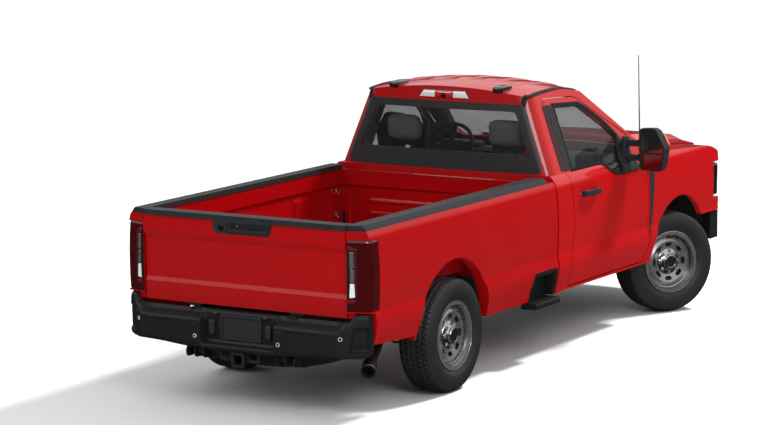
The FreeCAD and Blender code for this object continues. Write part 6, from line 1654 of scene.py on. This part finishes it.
def cushion(name, centre, half, lean, channels):
    """A padded form: a crowned block that leans back as it rises, puffed up, with sewn channels
    pressed in towards its middle."""
    points, faces = pillow((0, 0, 0), half, 0.30, 26, 52)
    crown = 1 - 0.10 * (points[:, 0] / half[0]) ** 2 * (points[:, 2] / half[2]) ** 2
    points = points * crown[:, None]
    points[:, 1] += lean * points[:, 2]
    item = piece(name, [(points + np.array(centre), faces)], "seat_cushion", "seat_cloth", smooth_angle=180.0)
    points = swollen(item)
    local = points - np.array(centre)
    press = np.zeros(len(points))
    for axis, at, width, depth in channels:
        press = np.maximum(press, depth * np.exp(-((local[:, axis] - at) / width) ** 2))
    inward = -local / np.maximum(np.linalg.norm(local, axis=1, keepdims=True), 1e-6)
    points = points + inward * press[:, None]
    item.data.vertices.foreach_set("co", points.ravel())
    item.data.update()
    item.data.shade_smooth()
    subdivision = item.modifiers.new("smooth", "SUBSURF")
    subdivision.levels = 1
    subdivision.render_levels = 1
    return item


class PICKUP_OT_cab(bpy.types.Operator):
    """Bench seat with its cushions and headrests, fittings and screens of the dashboard, the inner
    mirror, and the doors' cards and pulls"""

    bl_idname = "pickup.cab"
    bl_label = "Inside the cab"

    def execute(self, context):
        # Each seam's axis, its place along that, its width and its depth
        base_seams = [(0, -0.125, 0.006, 0.009), (0, 0.125, 0.006, 0.009), (2, 0.040, 0.004, 0.005)]
        back_seams = [(0, -0.120, 0.006, 0.009), (0, 0.120, 0.006, 0.009), (1, 0.030, 0.004, 0.005)]
        rest_seams = [(1, 0.012, 0.004, 0.004), (2, 0.060, 0.005, 0.004)]
        for name, x, half in (("left", 0.462, 0.245), ("middle", 0.0, 0.200), ("right", -0.462, 0.245)):
            cushion("seat_base_" + name, (x, -0.388, 0.900), (half, 0.240, 0.098), 0.0, base_seams)
            back = cushion("seat_back_" + name, (x, -0.180, 1.205), (half, 0.062, 0.212), 0.16, back_seams)
            if name == "left":
                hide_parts("seats")
        for name, x in (("left", 0.447), ("right", -0.447)):
            cushion("headrest_" + name, (x, -0.086, 1.622), (0.146, 0.040, 0.100), 0.10, rest_seams)
        outline = rectangle((-0.70, -0.600), (0.70, -0.150), (0.04, 0.04, 0.03, 0.03))
        plinth = lofted(outline, [(0.668, 1.0), (0.780, 0.99), (0.815, 0.96)], "XY")
        piece("seat_plinth", [plinth], "cabin", "cabin_grey")
        posts = []
        for x in (0.447, -0.447):
            for offset in (-0.062, 0.062):
                ends = [(x + offset, -0.150, 1.38), (x + offset, -0.108, 1.560)]
                posts.append(swept(disc_section(0.007), ends))
        piece("headrest_posts", posts, "bright", "steel")
        fittings = [pillow((0.405, -0.920, 1.404), (0.180, 0.075, 0.030), 0.5)]
        fittings.append(pillow((0.0, -0.965, 1.395), (0.150, 0.030, 0.040), 0.35))
        for x in (0.640, 0.180, -0.180, -0.640):
            fittings.append(pillow((x, -0.742, 1.330), (0.058, 0.024, 0.026), 0.3))
        piece("dash_fittings", fittings, "cabin", "cabin_grey")
        screens = [
            pillow((0.0, -0.731, 1.320), (0.112, 0.012, 0.062), 0.2),
            pillow((0.0, -0.728, 1.215), (0.100, 0.012, 0.026), 0.2),
        ]
        piece("dash_screens", screens, "gloss_black", "gloss_black")
        mirror = [
            pillow((0.0, -0.915, 1.775), (0.115, 0.012, 0.033), 0.35),
            tube([(0.0, -0.922, 1.785), (0.0, -0.950, 1.810), (0.0, -0.962, 1.825)], 0.008),
        ]
        piece("inner_mirror", mirror, "gloss_black", "gloss_black")
        for side, sign in SIDES:
            inner = sign * DOOR_CARD_X
            rest = [(inner - sign * x, y, z) for x, y, z in ARMREST]
            card = [swept(bar_section(0.060, 0.050, 0.5), through(rest, 8))]
            card.append(pillow((inner - sign * 0.010, -0.800, 0.640), (0.024, 0.300, 0.055), 0.25))
            card.append(pillow((inner - sign * 0.004, -0.720, 1.255), (0.018, 0.520, 0.045), 0.3))
            card.append(ring_shape((inner - sign * 0.002, -1.190, 0.700), (-sign, 0, 0), 0.080, 0.006))
            card.append(dome_shape((inner + sign * 0.001, -1.190, 0.700), (-sign, 0, 0), 0.076, 0.010))
            piece("door_card_" + side, card, "cabin", "cabin_grey", "door_" + side)
            pull = [(inner - sign * x, y, 1.105) for x, y in DOOR_PULL]
            pull = swept(bar_section(0.022, 0.012, 0.5), through(pull, 6))
            piece("door_pull_" + side, [pull], "bright", "steel", "door_" + side)
        return {"FINISHED"}


# Stage

CAMERA_PLACE = (-11.08613, 19.35896, 4.36699)
CAMERA_YAW = 0.542534
CAMERA_PITCH = 0.149832
CAMERA_ROLL = -0.00794


def camera_matrix():
    """The camera's axes from its yaw, pitch and roll, looking along its own -Z."""
    ahead = Vector((
        math.sin(CAMERA_YAW) * math.cos(CAMERA_PITCH),
        -math.cos(CAMERA_YAW) * math.cos(CAMERA_PITCH),
        -math.sin(CAMERA_PITCH),
    ))
    side = ahead.cross(Vector((0, 0, 1))).normalized()
    above = side.cross(ahead)
    level = side * math.cos(CAMERA_ROLL) + above * math.sin(CAMERA_ROLL)
    top = above * math.cos(CAMERA_ROLL) - side * math.sin(CAMERA_ROLL)
    matrix = Matrix((level, top, -ahead)).transposed().to_4x4()
    matrix.translation = Vector(CAMERA_PLACE)
    return matrix


def soft_light(name, location, target, size, power):
    """A large square lamp facing a point."""
    lamp = bpy.data.lights.new(name, "AREA")
    lamp.shape = "SQUARE"
    lamp.size = size
    lamp.energy = power
    item = bpy.data.objects.new(name, lamp)
    item.location = location
    item.rotation_euler = (Vector(target) - Vector(location)).to_track_quat("-Z", "Y").to_euler()
    bpy.context.scene.collection.objects.link(item)
    return item


class PICKUP_OT_stage(bpy.types.Operator):
    """Pale floor that fades far off, the world, soft lights and the camera"""

    bl_idname = "pickup.stage"
    bl_label = "Stage"

    def execute(self, context):
        material = FINISHES["floor"]
        corners = [(-60, -60, 0), (60, -60, 0), (60, 60, 0), (-60, 60, 0)]
        mesh = bpy.data.meshes.new("floor")
        mesh.from_pydata(corners, [], [(0, 1, 2, 3)])
        mesh.materials.append(material)
        floor = bpy.data.objects.new("floor", mesh)
        context.scene.collection.objects.link(floor)
        floor.visible_glossy = False
        away = add_node(material, "ShaderNodeVectorMath", operation="LENGTH")
        wire(material, place(material), away.inputs[0])
        fade = ranged(material, away.outputs["Value"], 1.0, 0.0, 7.0, 13.0)
        wire(material, fade, shader_of(material).inputs["Alpha"])
        world = bpy.data.worlds.new("studio")
        world.use_nodes = True
        background = world.node_tree.nodes["Background"]
        background.inputs["Color"].default_value = (1.0, 1.0, 1.0, 1.0)
        parts = add_node(world, "ShaderNodeSeparateXYZ")
        wire(world, add_node(world, "ShaderNodeTexCoord").outputs["Generated"], parts.inputs[0])
        height = ranged(world, parts.outputs["Z"], 0.02, 0.72, 0.10, 0.24)
        seen = add_node(world, "ShaderNodeLightPath").outputs["Is Camera Ray"]
        wire(world, sum_of(world, "MAXIMUM", height, seen), background.inputs["Strength"])
        context.scene.world = world
        context.scene.view_settings.view_transform = "Standard"
        key = soft_light("front_right", (-5.0, -10.0, 14.0), (0, 0, 0), 2.4, 4800.0)
        key.visible_glossy = False
        soft_light("rear_right", (-9.0, 9.0, 7.5), (0, 0, 0.8), 5.0, 470.0)
        soft_light("rear_left", (6.0, 11.0, 7.5), (0, 0, 0.8), 4.0, 260.0)
        camera = bpy.data.cameras.new("camera")
        camera.lens = context.scene.pickup_sizes.camera_lens
        camera.sensor_width = 36.0
        camera.clip_end = 200.0
        item = bpy.data.objects.new("camera", camera)
        item.matrix_world = camera_matrix()
        context.scene.collection.objects.link(item)
        context.scene.camera = item
        return {"FINISHED"}


class PICKUP_PT_panel(bpy.types.Panel):
    """Lists the pieces of the vehicle"""

    bl_label = "Pickup truck"
    bl_idname = "PICKUP_PT_panel"
    bl_space_type = "VIEW_3D"
    bl_region_type = "UI"
    bl_category = "Pickup"

    def draw(self, context):
        for operator in OPERATORS:
            self.layout.operator(operator.bl_idname)
        for group in (context.scene.pickup_colours, context.scene.pickup_sizes):
            for name in group.__annotations__:
                self.layout.prop(group, name)


OPERATORS = (
    PICKUP_OT_finishes,
    PICKUP_OT_tyres,
    PICKUP_OT_rear_bumper,
    PICKUP_OT_lamps,
    PICKUP_OT_roof,
    PICKUP_OT_mirrors,
    PICKUP_OT_windows,
    PICKUP_OT_wheels,
    PICKUP_OT_front,
    PICKUP_OT_bed,
    PICKUP_OT_chassis,
    PICKUP_OT_cab,
    PICKUP_OT_stage,
)


def register():
    """Makes the settings, operators and panel known to Blender."""
    for group in (PickupColours, PickupSizes, *OPERATORS, PICKUP_PT_panel):
        bpy.utils.register_class(group)
    bpy.types.Scene.pickup_colours = bpy.props.PointerProperty(type=PickupColours)
    bpy.types.Scene.pickup_sizes = bpy.props.PointerProperty(type=PickupSizes)


def unregister():
    """Takes the settings, operators and panel away again."""
    del bpy.types.Scene.pickup_colours
    del bpy.types.Scene.pickup_sizes
    for group in reversed((PickupColours, PickupSizes, *OPERATORS, PICKUP_PT_panel)):
        bpy.utils.unregister_class(group)


def main():
    """Dresses the vehicle piece by piece."""
    register()
    for operator in OPERATORS:
        group, name = operator.bl_idname.split(".")
        getattr(getattr(bpy.ops, group), name)()


if __name__ == "__main__":
    main()
